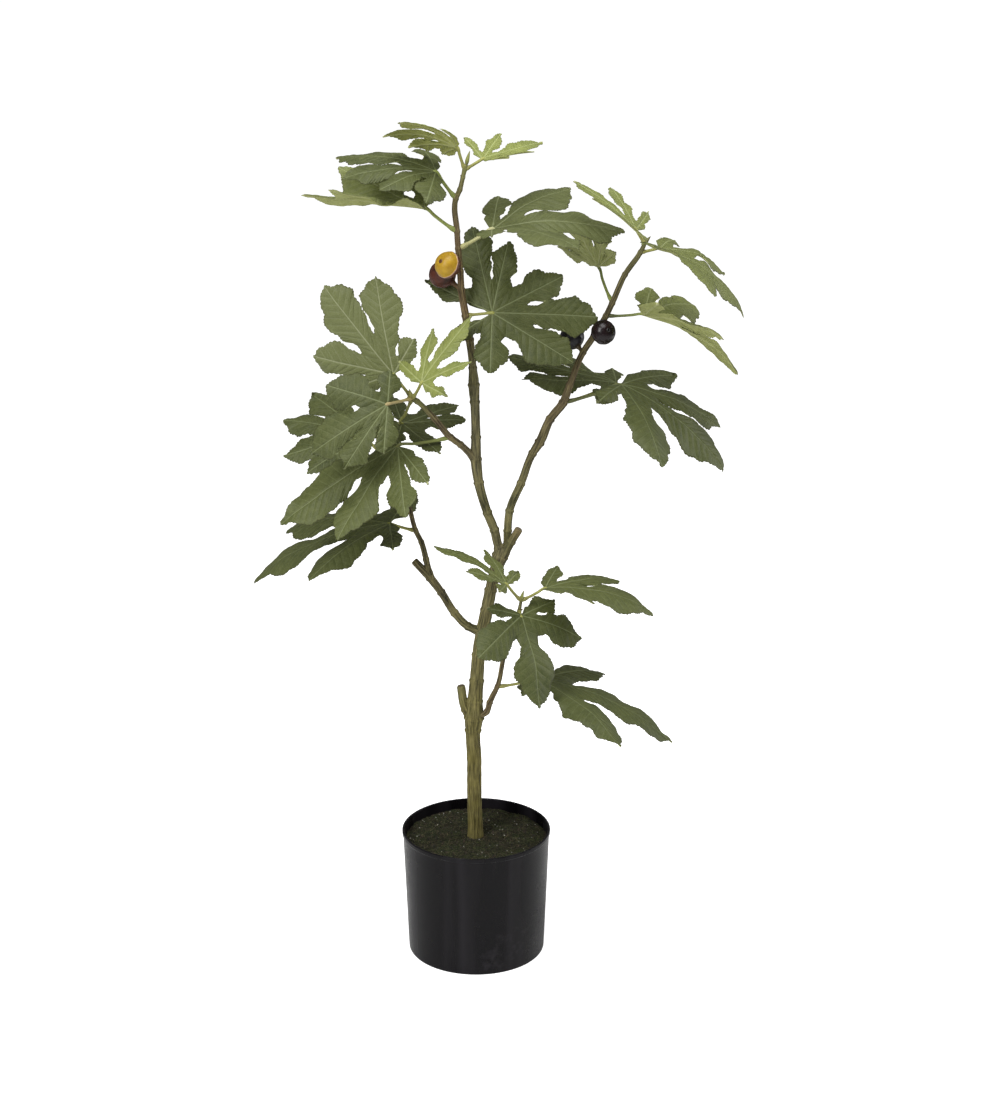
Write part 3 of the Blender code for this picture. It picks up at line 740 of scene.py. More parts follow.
def bark_radii(name, line, radius, knots):
    """Radii over the bark: the stem's own, with ridges, lumps and a ring at each knot.

    The ridges are two sine waves round the stem whose phase drifts along it; a ring
    swells as a narrow bell curve round a knot, with a fine groove above it.
    """
    seed = sum(map(ord, name))
    along = np.concatenate(((0.0,), np.cumsum(np.linalg.norm(np.diff(line, axis=0), axis=1))))
    angle = turns(STEM_SIDES)
    drift = rolling(along, along * 0.0, 0.08, seed)[:, None] * 1.5
    ridges = 0.016 * np.sin(9 * angle[None] + drift) + 0.012 * np.sin(5 * angle[None] - 1.7 * drift)
    lumps = 0.020 * rolling(np.add.outer(along, 0.004 * np.cos(angle)),
                            np.add.outer(along * 0.3, 0.004 * np.sin(angle)), 0.012, seed + 1)
    rings = np.zeros(len(along))
    height = min(0.16, 0.0009 / radius.mean())
    for knot in knots:
        away = along - along[np.argmin(np.linalg.norm(line - knot, axis=1))]
        groove = 0.05 * np.exp(-((away - 0.0026) / 0.0008) ** 2)
        rings += height * np.exp(-(away / RING_WIDTH) ** 2) - groove
    return radius[:, None] * (1.0 + ridges + lumps + rings[:, None])


def bark_finish():
    """Bark: the stem's tint, streaked along it, with grey lichen freckles and fine grooves.

    The streaks are noise on the surface's own map, stretched along the stem.
    """
    finish = Finish("bark", Metallic=0.0, Specular_IOR_Level=0.2)
    tint = finish.tint()
    flat = finish.node("ShaderNodeUVMap", {"uv_map": "lie"})
    streaky = finish.node("ShaderNodeMapping", None, {"Vector": flat, "Scale": (1.0, 0.07, 1.0)})
    streaks = finish.noise(620.0, 5.0, streaky, 0.65)
    patches = finish.noise(70.0, 4.0)
    freckles = finish.between(finish.noise(1300.0, 3.0), 0.60, 0.72)
    dark = finish.mixed(0.84, tint, (0.008, 0.008, 0.004))
    light = finish.mixed(0.48, tint, (0.36, 0.31, 0.13))
    coat = finish.mixed(finish.between(streaks, 0.36, 0.62), dark, light)
    coat = finish.mixed(finish.between(patches, 0.42, 0.70) * 0.45, coat, tint)
    return finish.done(
        finish.mixed(freckles * 0.30, coat, (0.33, 0.29, 0.16)),
        0.62 + streaks * 0.25, streaks * 0.8 + freckles * 0.2, 0.00055)


def cut_wood():
    """The pale, slightly weathered end of a pruned stem, mottled by its grain."""
    finish = Finish("cut_wood", Metallic=0.0, Specular_IOR_Level=0.2)
    grain = finish.noise(1500.0, 4.0)
    return finish.done(
        finish.mixed(grain, (0.070, 0.055, 0.035), (0.22, 0.18, 0.11)),
        0.85 + grain * 0.1, grain, 0.0003)


BARK = bark_finish()
CUT_WOOD = cut_wood()
ROUTES = stem_routes()


def make_stem(name, nodes):
    """A stem as a surface carried along its smooth route, flared where it springs."""
    places, widths = ROUTES[name]
    if name == "trunk":
        places = np.vstack(((places[0, 0], 0.0, SOIL_TOP - 0.016), places))
        widths = np.concatenate((widths[:1] * 1.10, widths))
    if name in SUNK_FEET:
        places = np.vstack((places[0] + np.array(SUNK_FEET[name]) * MM, places))
        widths = np.concatenate((widths[:1], widths))
    knots = np.column_stack((places, widths))
    length = np.linalg.norm(np.diff(places, axis=0), axis=1).sum()
    curve = smooth(knots, int(length / RING_STEP))
    line, radius = curve[:, :3], curve[:, 3]
    along = np.linspace(0.0, length, len(line))
    if name != "trunk":
        radius = radius * (1.0 + 0.28 * np.exp(-(np.maximum(along - 0.004, 0.0) / 0.0045) ** 2))
    if name == "trunk":
        radius = radius * (1.0 + 0.10 * np.exp(-((line[:, 2] - SOIL_TOP) / 0.010) ** 2))
    end = np.clip((length - along) / (0.35 * radius[-1]), 0.0, 1.0)
    radius = radius * (0.80 + 0.20 * np.sqrt(end))
    radii = bark_radii(name, line, radius, places[4 if name == "trunk" else 1:-1])
    points, faces = carried(line, radii, STEM_SIDES, 0.10)
    tint = blended(BARKS[name], per_point(along / length, STEM_SIDES))
    vary = 1.0 + 0.22 * rolling(points[:, 0] + points[:, 1], points[:, 2], 0.025, len(name))
    colours = tint * vary[:, None]
    around = np.linspace(0.0, 1.0, STEM_SIDES, endpoint=False) * 2 * math.pi * widths.mean()
    width = around[1] - around[0]
    u = np.repeat(np.stack((around, around, around + width, around + width), axis=1)[None],
                  len(line) - 1, axis=0)
    v = np.stack((along[:-1], along[1:], along[1:], along[:-1]), axis=1)[:, None]
    v = np.repeat(v, STEM_SIDES, axis=1)
    corner_uv = np.stack((u, v), axis=3).reshape(-1, 2)
    corner_uv = np.vstack((corner_uv, np.zeros((6 * STEM_SIDES, 2))))
    slots = np.zeros(len(faces), dtype=int)
    if name in CUT_ENDS:
        slots[-STEM_SIDES:] = 1
    make_piece(name + "_bark", points, faces, [BARK, CUT_WOOD], nodes, slots, corner_uv,
               colours)


make_stem("trunk", ["trunk"])
for stem_name in STEMS:
    own = [stem_name] if stem_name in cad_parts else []
    make_stem(stem_name, own)

# ------------------------------------------------------------------- leaves and stalks
# Each leaf is a thin, slightly woven blade of deep round lobes on a bare stalk.
# Its upper face is dark green with pale veins pressed in, its under face is
# olive with the veins standing out, and the free edge is finely toothed.

# Each leaf is (stem, joint, blade base in mm from that joint,
#               (heading, pitch, roll) of the midrib in degrees,
#               (fold of the halves, droop towards the tips) in degrees,
#               depth of the notches as a share of the shorter lobe beside,
#               lobes from left to right as (angle in degrees, length, half width in mm)).
LEAVES = {
    "top_left_leaf": (
        "left_leader", 18, (-7, -5, 23), (165, 30, 35), (5, 50), 0.35,
        ((70, 45, 9), (30, 72, 14), (-5, 78, 16), (-35, 61, 12), (-65, 34, 7))),
    "top_right_leaf": (
        "left_leader", 18, (18, 7, 10), (35, 10, 10), (20, 10), 0.30,
        ((85, 38, 5), (35, 53, 7), (5, 80, 11), (-50, 55, 8), (-85, 42, 6))),
    "upper_left_leaf": (
        "left_leader", 15, (-20, 2, 27), (195, 15, -20), (5, 35), 0.35,
        ((75, 62, 16), (35, 76, 18), (5, 96, 22), (-25, 108, 25), (-85, 62, 15))),
    "folded_left_leaf": (
        "left_leader", 14, (-32, -3, 25), (170, 5, -10), (30, 5), 0.40,
        ((80, 64, 14), (40, 109, 24), (15, 124, 27), (-25, 109, 24), (-75, 59, 13))),
    "upper_right_leaf": (
        "left_leader", 13, (34, 10, 19), (-5, 10, 10), (20, 35), 0.30,
        ((85, 69, 15), (50, 126, 25), (10, 140, 29), (-45, 134, 29), (-85, 64, 15))),
    "middle_leaf": (
        "left_leader", 10, (27, -2, 3), (-5, 0, 65), (0, 10), 0.45,
        ((155, 77, 9), (105, 96, 20), (80, 77, 15), (30, 82, 20), (0, 108, 25),
         (-30, 97, 23), (-90, 62, 18), (-145, 54, 10))),
    "back_right_leaf": (
        "right_leader", 12, (-12, 50, 28), (210, 50, 15), (10, 0), 0.50,
        ((65, 38, 8), (40, 60, 12), (10, 70, 15), (-40, 70, 16), (-65, 56, 12))),
    "young_right_leaf": (
        "right_leader", 15, (-9, -4, 15), (165, 40, 0), (20, 20), 0.30,
        ((110, 45, 5), (45, 72, 9), (-10, 83, 10), (-40, 66, 8), (-85, 46, 5))),
    "drooping_right_leaf": (
        "right_leader", 14, (19, 2, 4), (-15, -15, -5), (20, 55), 0.40,
        ((85, 62, 9), (45, 101, 15), (15, 121, 18), (-40, 110, 17), (-100, 57, 9))),
    "folded_right_leaf": (
        "right_leader", 11, (38, -3, 3), (5, -15, 0), (30, 40), 0.40,
        ((80, 63, 13), (50, 109, 22), (-10, 120, 24), (-40, 103, 21), (-90, 64, 13))),
    "wide_right_leaf": (
        "right_leader", 7, (61, 15, 16), (-30, -20, 5), (10, 40), 0.35,
        ((75, 89, 18), (35, 124, 25), (10, 143, 29), (-35, 126, 25), (-85, 57, 11))),
    "inner_right_leaf": (
        "right_leader", 7, (57, 46, 10), (175, 15, -15), (-5, 5), 0.50,
        ((70, 42, 10), (20, 103, 20), (0, 120, 22), (-20, 103, 20), (-80, 42, 10))),
    "wide_left_leaf": (
        "left_branch", 5, (-20, 22, 20), (175, 45, -95), (5, 15), 0.45,
        ((65, 66, 17), (35, 87, 22), (-5, 115, 28), (-35, 103, 26), (-75, 45, 12))),
    "young_left_leaf": (
        "left_branch", 5, (10, -23, 22), (20, 50, 20), (5, 10), 0.35,
        ((85, 44, 6), (35, 63, 8), (5, 85, 11), (-40, 61, 8), (-85, 45, 6))),
    "front_left_leaf": (
        "left_branch", 5, (-24, -28, 1), (185, -10, -65), (10, 35), 0.42,
        ((75, 52, 14), (45, 82, 20), (20, 97, 25), (-30, 68, 22), (-105, 36, 12))),
    "back_left_leaf": (
        "left_branch", 5, (-13, 50, -39), (0, 0, 25), (5, 10), 0.40,
        ((105, 44, 9), (30, 68, 14), (10, 68, 14), (-50, 64, 13), (-100, 37, 8))),
    "hanging_left_leaf": (
        "left_branch", 2, (-54, -14, -5), (215, -35, -20), (5, 15), 0.42,
        ((75, 66, 11), (50, 91, 17), (10, 119, 22), (-20, 147, 26), (-110, 44, 12))),
    "far_left_leaf": (
        "lower_left_twig", 6, (-35, 7, 31), (155, 20, -25), (0, 20), 0.40,
        ((70, 76, 17), (45, 88, 19), (10, 96, 21), (-20, 96, 21), (-110, 50, 11))),
    "low_left_leaf": (
        "lower_left_twig", 3, (-28, 7, 6), (180, -5, -10), (10, 40), 0.40,
        ((95, 68, 12), (45, 123, 22), (0, 166, 30), (-30, 146, 26), (-110, 75, 14))),
    "small_front_leaf": (
        "lower_right_twig", 7, (-15, -14, 23), (170, 40, -5), (10, 25), 0.35,
        ((85, 32, 6), (40, 56, 9), (5, 86, 13), (-40, 52, 9), (-95, 35, 6))),
    "low_right_leaf": (
        "lower_right_twig", 7, (25, 12, 10), (-10, 0, -5), (20, 40), 0.40,
        ((85, 57, 10), (45, 105, 18), (20, 128, 22), (-45, 87, 15), (-65, 58, 10))),
    "front_right_leaf": (
        "lower_right_twig", 6, (2, -11, -1), (-60, -40, -10), (10, 30), 0.35,
        ((105, 52, 13), (65, 79, 20), (-5, 103, 26), (-60, 86, 21), (-105, 42, 11))),
    "lowest_right_leaf": (
        "lower_right_twig", 3, (41, -1, 9), (-5, -5, 0), (10, 40), 0.40,
        ((90, 50, 12), (45, 106, 18), (0, 165, 28), (-45, 147, 25), (-100, 50, 12))),
}
BACK_SPREAD = 30            # degrees from an outer lobe to the notch at the stalk
BACK_SPREADS = {"middle_leaf": 6}
BACK_NOTCH = 0.30           # that notch's depth as a share of the outer lobe
LOBE_SPACING = 0.93         # how near a lobe may come to the line half way to the next
FOLD_ROUNDING = 0.05        # rounding of the fold as a share of the midrib
BLADE_THICKNESS = 0.0006
STALK_RADIUS = 0.0013
STALK_SIDES = 12
ROOT_ROWS = 16              # rows of faces from the blade's base to a notch
EDGE_ROWS = 104             # rows along a lobe's free edge
ACROSS = np.array((0.0, 0.03, 0.07, 0.14, 0.28, 0.45, 0.62, 0.80, 0.93, 1.0))
TOOTH = 0.0040              # spacing of the teeth along the edge
TOOTH_DEPTH = 0.0013
WAVE_DEPTH = 0.0016         # of the slow waves in the outline
SIDE_VEIN = 0.0090          # spacing of the side veins along a main vein

# How young each leaf is: 0 is a full dark green, 1 a fresh yellow-green.
YOUTH = {
    "top_left_leaf": 1.0, "top_right_leaf": 1.0, "young_right_leaf": 0.72,
    "drooping_right_leaf": 0.42, "young_left_leaf": 0.9, "folded_right_leaf": 0.45,
    "folded_left_leaf": 0.50, "small_front_leaf": 0.35, "low_right_leaf": 0.20,
    "upper_right_leaf": 0.08, "upper_left_leaf": 0.05, "back_right_leaf": 0.25,
    "hanging_left_leaf": 0.16, "wide_left_leaf": 0.10,
}

# Leaves whose dark green is painted paler than the rest, as a painted sheen of light on them.
SHEEN_PALENESS = {"wide_left_leaf": 0.85, "folded_left_leaf": 0.35, "upper_right_leaf": 0.25}


def turn_matrix(heading, pitch, roll):
    """Turns a leaf frame (midrib X, left Y, upper face Z) to its place in the world."""
    a, b, c = np.radians((heading, pitch, roll))
    about_z = np.array(((np.cos(a), -np.sin(a), 0), (np.sin(a), np.cos(a), 0), (0, 0, 1)))
    about_y = np.array(((np.cos(b), 0, -np.sin(b)), (0, 1, 0), (np.sin(b), 0, np.cos(b))))
    about_x = np.array(((1, 0, 0), (0, np.cos(c), -np.sin(c)), (0, np.sin(c), np.cos(c))))
    return about_z @ about_y @ about_x


def bent(flat, fold, droop, midrib):
    """Flat leaf points folded up along the midrib, then drooping away from the base.

    The fold lifts a point by its distance from the midrib times the sine of the
    angle, rounded at the midrib.  The droop turns every line from the base into
    an arc of the same length.
    """
    angle = np.radians(fold)
    rounding = FOLD_ROUNDING * midrib
    side = flat[:, 1] * np.cos(angle)
    lift = (np.hypot(flat[:, 1], rounding) - rounding) * np.sin(angle)
    reach = np.maximum(np.hypot(flat[:, 0], side), 1e-9)
    curl = np.radians(droop) / midrib + 1e-6
    shrink = np.sin(curl * reach) / (curl * reach)
    drop = (1.0 - np.cos(curl * reach)) / curl
    return np.column_stack((flat[:, 0] * shrink, side * shrink, lift - drop))


def free_edge(notch, length, half_width, half, draw):
    """A lobe's free edge from its notch to its tip, in the lobe's own frame, with its teeth.

    The width swells smoothly from the notch to the middle and falls to the tip as
    (1 - t to 1.65) to 0.95, with a slight waist after the notch.  It keeps to its own
    side of the line half way to the next lobe.  Slow waves, and round teeth as the
    size of a sine with its phase by length, move the edge at right angles.
    """
    step = np.linspace(0.0, 1.0, EDGE_ROWS + 1)
    swell = np.clip(step / 0.5, 0.0, 1.0)
    swell = swell * swell * (3.0 - 2.0 * swell)
    tail = np.maximum(0.0, (step - 0.5) / 0.5)
    reach = notch[0] + (length - notch[0]) * step
    width = (notch[1] + (half_width - notch[1]) * swell) * (1.0 - tail ** 1.65) ** 0.95
    width -= 0.20 * notch[1] * np.sin(np.clip(step / 0.34, 0.0, 1.0) * math.pi)
    room = np.where(step > 0.0, LOBE_SPACING * math.tan(math.radians(min(half, 80.0))) * reach, 1.0)
    width = np.minimum(width, room)
    edge = np.column_stack((reach, width))
    along = np.concatenate(((0.0,), np.cumsum(np.linalg.norm(np.diff(edge, axis=0), axis=1))))
    ahead = np.gradient(edge, axis=0)
    ahead /= np.linalg.norm(ahead, axis=1)[:, None] + 1e-12
    out = np.column_stack((-ahead[:, 1], ahead[:, 0]))
    fade = np.clip(step / 0.12, 0.0, 1.0) * np.clip((1.0 - step) / 0.02, 0.0, 1.0)
    phase = along / TOOTH + 0.35 * np.sin(along / TOOTH * 0.9 + draw.uniform(0.0, 6.0))
    teeth = np.abs(np.sin(math.pi * (phase + draw.uniform()))) ** 0.7 - 0.75
    big = np.abs(np.sin(math.pi * (along / (3.7 * TOOTH) + draw.uniform()))) ** 0.8 - 0.6
    waves = (np.sin(along / draw.uniform(0.0045, 0.0065) + draw.uniform(0.0, 6.0))
             * np.sin(along / 0.021 + draw.uniform(0.0, 6.0)))
    move = fade * (TOOTH_DEPTH * teeth + 1.2 * TOOTH_DEPTH * big + WAVE_DEPTH * waves)
    edge += out * move[:, None]
    edge[-1] = (length, 0.0)
    return edge


def blade_grid(name, draw):
    """The flat blade as points, triangles and, for each corner, (along, across) its main vein.

    Every lobe has a strip of rows on each side of its vein.  Row by row, the strip's
    outer side runs from the base to the notch on the line half way to the next lobe,
    and then along the free edge; a row's points lie straight between vein and edge.
    The rows lean forward, so they run as the side veins do.
    """
    cut, lobes = LEAVES[name][5:7]
    back = BACK_SPREADS.get(name, BACK_SPREAD)
    rows, columns = ROOT_ROWS + EDGE_ROWS, len(ACROSS) - 1
    step = np.linspace(0.0, 1.0, EDGE_ROWS + 1)
    vein_share = np.concatenate((0.18 * np.arange(ROOT_ROWS) / ROOT_ROWS,
                                 0.18 + 0.54 * step + 0.28 * step ** 3))
    points, count = [np.zeros((1, 2))], 1
    edge_share = [np.zeros(1)]
    triangles, lie, rims = [], [], []
    shared = None
    for number, (angle, length, half_width) in enumerate(lobes):
        turn = math.radians(angle)
        rotate = np.array(((math.cos(turn), -math.sin(turn)), (math.sin(turn), math.cos(turn))))
        vein = np.column_stack((vein_share * length * MM, np.zeros(rows + 1)))
        vein_ids = np.concatenate(((0,), count + np.arange(rows)))
        points.append(vein[1:] @ rotate.T)
        edge_share.append(np.concatenate((np.zeros(rows - 1), (1.0,))))
        count += rows
        for side in (1, -1):
            beside = number - side
            if 0 <= beside < len(lobes):
                half = abs(lobes[beside][0] - angle) / 2
                depth = cut * min(length, lobes[beside][1]) * MM
                room = half
            else:
                half = back
                depth = BACK_NOTCH * length * MM
                room = 80.0
            notch = depth * np.array((math.cos(math.radians(half)), math.sin(math.radians(half))))
            edge = free_edge(notch, length * MM, half_width * MM, room, draw)
            edge = np.vstack((notch * (np.arange(ROOT_ROWS) / ROOT_ROWS)[:, None], edge))
            edge[:, 1] *= side
            share = ACROSS[None, :, None]
            grid = vein[:, None] * (1.0 - share) + edge[:, None] * share
            ids = np.zeros((rows + 1, columns + 1), dtype=int)
            ids[:, 0] = vein_ids
            ids[-1, :] = vein_ids[-1]
            fresh = np.ones((rows + 1, columns + 1), dtype=bool)
            fresh[:, 0] = fresh[0] = fresh[-1] = False
            if side == 1 and shared is not None:
                fresh[1:ROOT_ROWS + 1, -1] = False
                ids[1:ROOT_ROWS + 1, -1] = shared
            ids[fresh] = count + np.arange(fresh.sum())
            count += int(fresh.sum())
            points.append(grid[fresh] @ rotate.T)
            ramp = np.ones((rows + 1, 1))
            if 0 <= beside < len(lobes):
                ramp[:ROOT_ROWS, 0] = (np.arange(ROOT_ROWS) / ROOT_ROWS) ** 6
            edge_share.append((ramp * ACROSS)[fresh])
            if side == -1:
                shared = ids[1:ROOT_ROWS + 1, -1].copy()
            flow = np.stack((np.broadcast_to(vein[:, :1], grid.shape[:2]),
                             np.abs(grid[..., 1])), axis=2)
            corners = [(slice(0, -1), slice(0, -1)), (slice(1, None), slice(0, -1)),
                       (slice(1, None), slice(1, None)), (slice(0, -1), slice(1, None))]
            if side == -1:
                corners.reverse()
            quad = [ids[c].ravel() for c in corners]
            quad_lie = [flow[c].reshape(-1, 2) for c in corners]
            for pick in ((0, 1, 2), (0, 2, 3)):
                triangle = np.column_stack([quad[k] for k in pick])
                whole = ((triangle[:, 0] != triangle[:, 1]) & (triangle[:, 1] != triangle[:, 2])
                         & (triangle[:, 0] != triangle[:, 2]))
                triangles.append(triangle[whole])
                lie.append(np.stack([quad_lie[k] for k in pick], axis=1)[whole])
            rim = ids[ROOT_ROWS if 0 <= beside < len(lobes) else 0:, -1]
            rims.append(rim[::-1] if side == 1 else rim)
    return (np.vstack(points), np.vstack(triangles), np.vstack(lie), rims,
            np.concatenate(edge_share))


def point_normals(points, triangles):
    """The mean direction of the faces round each point, weighted by their areas."""
    first, second, third = (points[triangles[:, k]] for k in range(3))
    across = np.cross(second - first, third - first)
    normals = np.zeros_like(points)
    for k in range(3):
        np.add.at(normals, triangles[:, k], across)
    return normals / (np.linalg.norm(normals, axis=1)[:, None] + 1e-15)


def leaf_relief(lie, edge_share, flat, length, seed):
    """The blade's swing up and down, its own small relief, and the veins' relief below.

    The swing is slow waves that grow towards the free edge, less a fall to both sides
    of a main vein.  The small relief puffs up as the square of a sine between the side
    veins and sinks in a narrow bell curve along every vein.  Below, the veins stand
    out as bell curves, the main ones tapering to the tip.
    """
    along, across = lie[:, 0], lie[:, 1]
    inner = 1.0 - edge_share ** 3
    between = np.sin(math.pi * along / SIDE_VEIN) ** 2
    body = np.clip(across / 0.004, 0.0, 1.0)
    puff = 0.0004 * between * body * inner
    main = np.exp(-(across / 0.0009) ** 2)
    side_vein = np.exp(-((0.5 - np.abs(along / SIDE_VEIN % 1.0 - 0.5)) * SIDE_VEIN / 0.0008) ** 2)
    sink = 0.0005 * main + 0.00025 * side_vein * body * inner
    slow = rolling(flat[:, 0], flat[:, 1], 0.060, seed)
    quick = rolling(flat[:, 0], flat[:, 1], 0.022, seed + 1)
    size = min(1.0, length / 0.095) ** 2
    wave = size * (0.0028 * edge_share ** 2 * slow + 0.0010 * edge_share * quick + 0.0010 * slow)
    cup = 0.0034 * size * (across / 0.020) ** 1.6
    below = (0.0011 * (1.0 - 0.75 * along / length) * main
             + 0.00030 * side_vein * body * inner)
    return wave - cup, puff - sink, below


def vein_lines(finish, across, step, side_width, main_width, net_scale, net_edge):
    """Shares of the side veins, the main vein and the net of fine veins, each from 0 to 1.

    The distance to a side vein is that to the nearest whole step along the main vein.
    The net is the borders of random cells, at so many cells a metre.
    """
    away = ((step.math("FRACT") - 0.5).size() - 0.5).size() * SIDE_VEIN
    net = finish.node("ShaderNodeTexVoronoi", {"feature": "DISTANCE_TO_EDGE"}, {
        "Vector": finish.place(), "Scale": net_scale, "Randomness": 1.0})
    return ((1.0 - away / side_width).clipped(), (1.0 - across / main_width).clipped(),
            1.0 - finish.between(net, 0.02, net_edge))


def leaf_upper():
    """Upper face: mottled dark green, fresh yellow-green where the leaf is young.

    The veins are lines on the blade's own map: a main vein where the distance across
    is small, side veins at even steps along it, and a net of fine veins between.
    """
    finish = Finish("leaf_upper", Metallic=0.0, Specular_IOR_Level=0.22)
    tint = finish.tint()
    young, edge, tone_and_sheen_share = finish.parts("ShaderNodeSeparateColor", tint)
    flat = finish.node("ShaderNodeUVMap", {"uv_map": "lie"})
    along, across, _ = finish.parts("ShaderNodeSeparateXYZ", flat)
    wobble = finish.noise(260.0, 2.0) - 0.5
    step = (along + wobble * 0.0016) / SIDE_VEIN
    tapered = (0.00105 - along * 0.0052).math("MAXIMUM", 0.00035)
    side_vein, main_vein, net_vein = vein_lines(
        finish, across, step, 0.00062 - across * 0.012, tapered, 520.0, 0.16)
    clouds = finish.noise(34.0, 4.0)
    mottle = finish.noise(210.0, 4.0, roughness=0.7)
    weave = finish.noise(2400.0, 2.0)
    dark = finish.mixed(finish.between(clouds, 0.32, 0.68), (0.031, 0.040, 0.011),
                        (0.062, 0.073, 0.019))
    dark = finish.mixed(finish.between(mottle, 0.38, 0.66) * 0.55, dark, (0.092, 0.103, 0.034))
    # The tint's third part makes the dark green and the veins paler: a painted sheen on the listed
    # leaves, a small random difference of tone on the others.
    dark = finish.mixed(tone_and_sheen_share, dark, (0.148, 0.166, 0.062))
    fresh = finish.mixed(finish.between(mottle, 0.20, 0.80), (0.165, 0.195, 0.042),
                         (0.285, 0.315, 0.092))
    fresh = finish.mixed(finish.between(clouds, 0.45, 0.75) * 0.50, fresh, (0.110, 0.135, 0.040))
    blade = finish.mixed(young, dark, fresh)
    fleck = finish.between(weave, 0.58, 0.74)
    blade = finish.mixed(fleck * 0.16, blade, (0.24, 0.27, 0.14))
    pale = finish.mixed(young, (0.215, 0.245, 0.118), (0.42, 0.46, 0.20))
    pale = finish.mixed(tone_and_sheen_share, pale, (0.46, 0.48, 0.30))
    blade = finish.mixed(net_vein * 0.13, blade, pale)
    blade = finish.mixed(side_vein * 0.24, blade, pale)
    blade = finish.mixed(main_vein * 0.72, blade, pale)
    rim = finish.between(edge, 0.945, 1.0)
    blade = finish.mixed(rim * 0.55, blade, (0.040, 0.034, 0.014))
    return finish.done(blade, 0.42 + mottle * 0.18,
                       weave * 0.15 - net_vein * 0.10 - side_vein * 0.3, 0.00010, 0.6)


def leaf_under():
    """Under face: matt olive, with all the veins paler."""
    finish = Finish("leaf_under", Metallic=0.0, Specular_IOR_Level=0.2)
    flat = finish.node("ShaderNodeUVMap", {"uv_map": "lie"})
    along, across, _ = finish.parts("ShaderNodeSeparateXYZ", flat)
    side_vein, main_vein, net_vein = vein_lines(
        finish, across, along / SIDE_VEIN, 0.0008, 0.0013, 480.0, 0.18)
    mottle = finish.noise(120.0, 5.0, roughness=0.7)
    weave = finish.noise(2400.0, 2.0)
    tint = finish.tint()
    young = finish.parts("ShaderNodeSeparateColor", tint)[0]
    spots = finish.between(mottle, 0.35, 0.66)
    old = finish.mixed(spots, (0.255, 0.280, 0.105), (0.360, 0.390, 0.170))
    fresh = finish.mixed(spots, (0.310, 0.330, 0.070), (0.430, 0.450, 0.140))
    blade = finish.mixed(young, old, fresh)
    blade = finish.mixed(net_vein * 0.30 + side_vein * 0.35, blade, (0.40, 0.42, 0.22))
    return finish.done(
        finish.mixed(main_vein * 0.7, blade, (0.44, 0.45, 0.24)),
        0.72 + weave * 0.12, weave * 0.15 + net_vein * 0.2, 0.00010, 0.6)


def stalk_finish():
    """Smooth green stalk skin in the points' tint, with faint pale specks."""
    finish = Finish("stalk_skin", Metallic=0.0, Specular_IOR_Level=0.4)
    tint = finish.tint()
    speck = finish.noise(700.0, 3.0)
    return finish.done(
        finish.mixed(finish.between(speck, 0.45, 0.75) * 0.35, tint, (0.20, 0.17, 0.07)),
        0.45 + speck * 0.2, speck, 0.0001)


LEAF_UPPER = leaf_upper()
LEAF_UNDER = leaf_under()
STALK_SKIN = stalk_finish()

# Stalks: (share of the usual radius, colour at the stem, colour at the blade).
YELLOW_GREEN = (0.34, 0.35, 0.090)
LIME = (0.26, 0.31, 0.080)
PLAIN_STALK = (1.2, (0.26, 0.25, 0.075), YELLOW_GREEN)
STALKS = {
    "upper_right_leaf": (1.45, (0.40, 0.38, 0.16), (0.50, 0.50, 0.26)),
    "front_left_leaf": (1.15, (0.40, 0.33, 0.12), (0.42, 0.33, 0.16)),
    "folded_right_leaf": (1.1, (0.060, 0.070, 0.030), LIME),
    "back_right_leaf": (1.15, LIME, (0.13, 0.16, 0.05)),
    "wide_right_leaf": (1.15, (0.10, 0.11, 0.040), (0.16, 0.18, 0.06)),
    "hanging_left_leaf": (1.2, LIME, (0.20, 0.21, 0.07)),
    "upper_left_leaf": (1.35, LIME, LIME),
    "folded_left_leaf": (1.35, LIME, LIME),
}


def make_leaf(name):
    """A closed leaf: an upper and an under sheet, joined by a thin rim along the free edge."""
    stem, joint, offset, turns, (fold, droop), _, lobes = LEAVES[name]
    seed = sum(map(ord, name))
    draw = np.random.default_rng(seed)
    flat, triangles, lie, rims, edge_share = blade_grid(name, draw)
    midrib = min(lobes, key=lambda lobe: abs(lobe[0]))[1] * MM
    count = len(flat)
    own_lie = np.zeros((count, 2))
    own_lie[triangles.ravel()] = lie.reshape(-1, 2)
    swing, body, below = leaf_relief(own_lie, edge_share, flat, midrib, seed)
    sheet = bent(flat, fold, droop, midrib)
    sheet[:, 2] += swing
    normals = point_normals(sheet, triangles)
    thick = BLADE_THICKNESS * (1.0 - 0.5 * edge_share ** 4) / 2
    upper = sheet + normals * (body + thick)[:, None]
    lower = sheet + normals * (body - thick - below)[:, None]
    base = ROUTES[stem][0][joint] + np.array(offset) * MM
    turn = turn_matrix(*turns)
    points = np.vstack((upper, lower)) @ turn.T + base
    faces = [triangles, triangles[:, ::-1] + count]
    corner_uv = [lie.reshape(-1, 2), lie[:, ::-1].reshape(-1, 2)]
    for rim in rims:
        first, second = rim[:-1], rim[1:]
        for wall in ((second, first, first + count), (second, first + count, second + count)):
            faces.append(np.column_stack(wall))
            corner_uv.append(own_lie[np.column_stack(wall) % count].reshape(-1, 2))
    which = np.concatenate((np.zeros(len(triangles)), np.ones(len(triangles)),
                            np.zeros(sum(map(len, faces[2:])))))
    # The tint's third part is the leaf's paleness: a painted sheen on the listed leaves, a small
    # random tone on the rest.
    own = np.array((YOUTH.get(name, 0.05), 0.0, SHEEN_PALENESS.get(name, 0.15 * draw.uniform())))
    colours = np.tile(own, (2 * count, 1))
    colours[:, 1] = np.tile(edge_share, 2)
    make_piece(name + "_blade", points, np.vstack(faces), [LEAF_UPPER, LEAF_UNDER], [name],
               which, np.vstack(corner_uv), colours)
    make_stalk(name, base, turn)


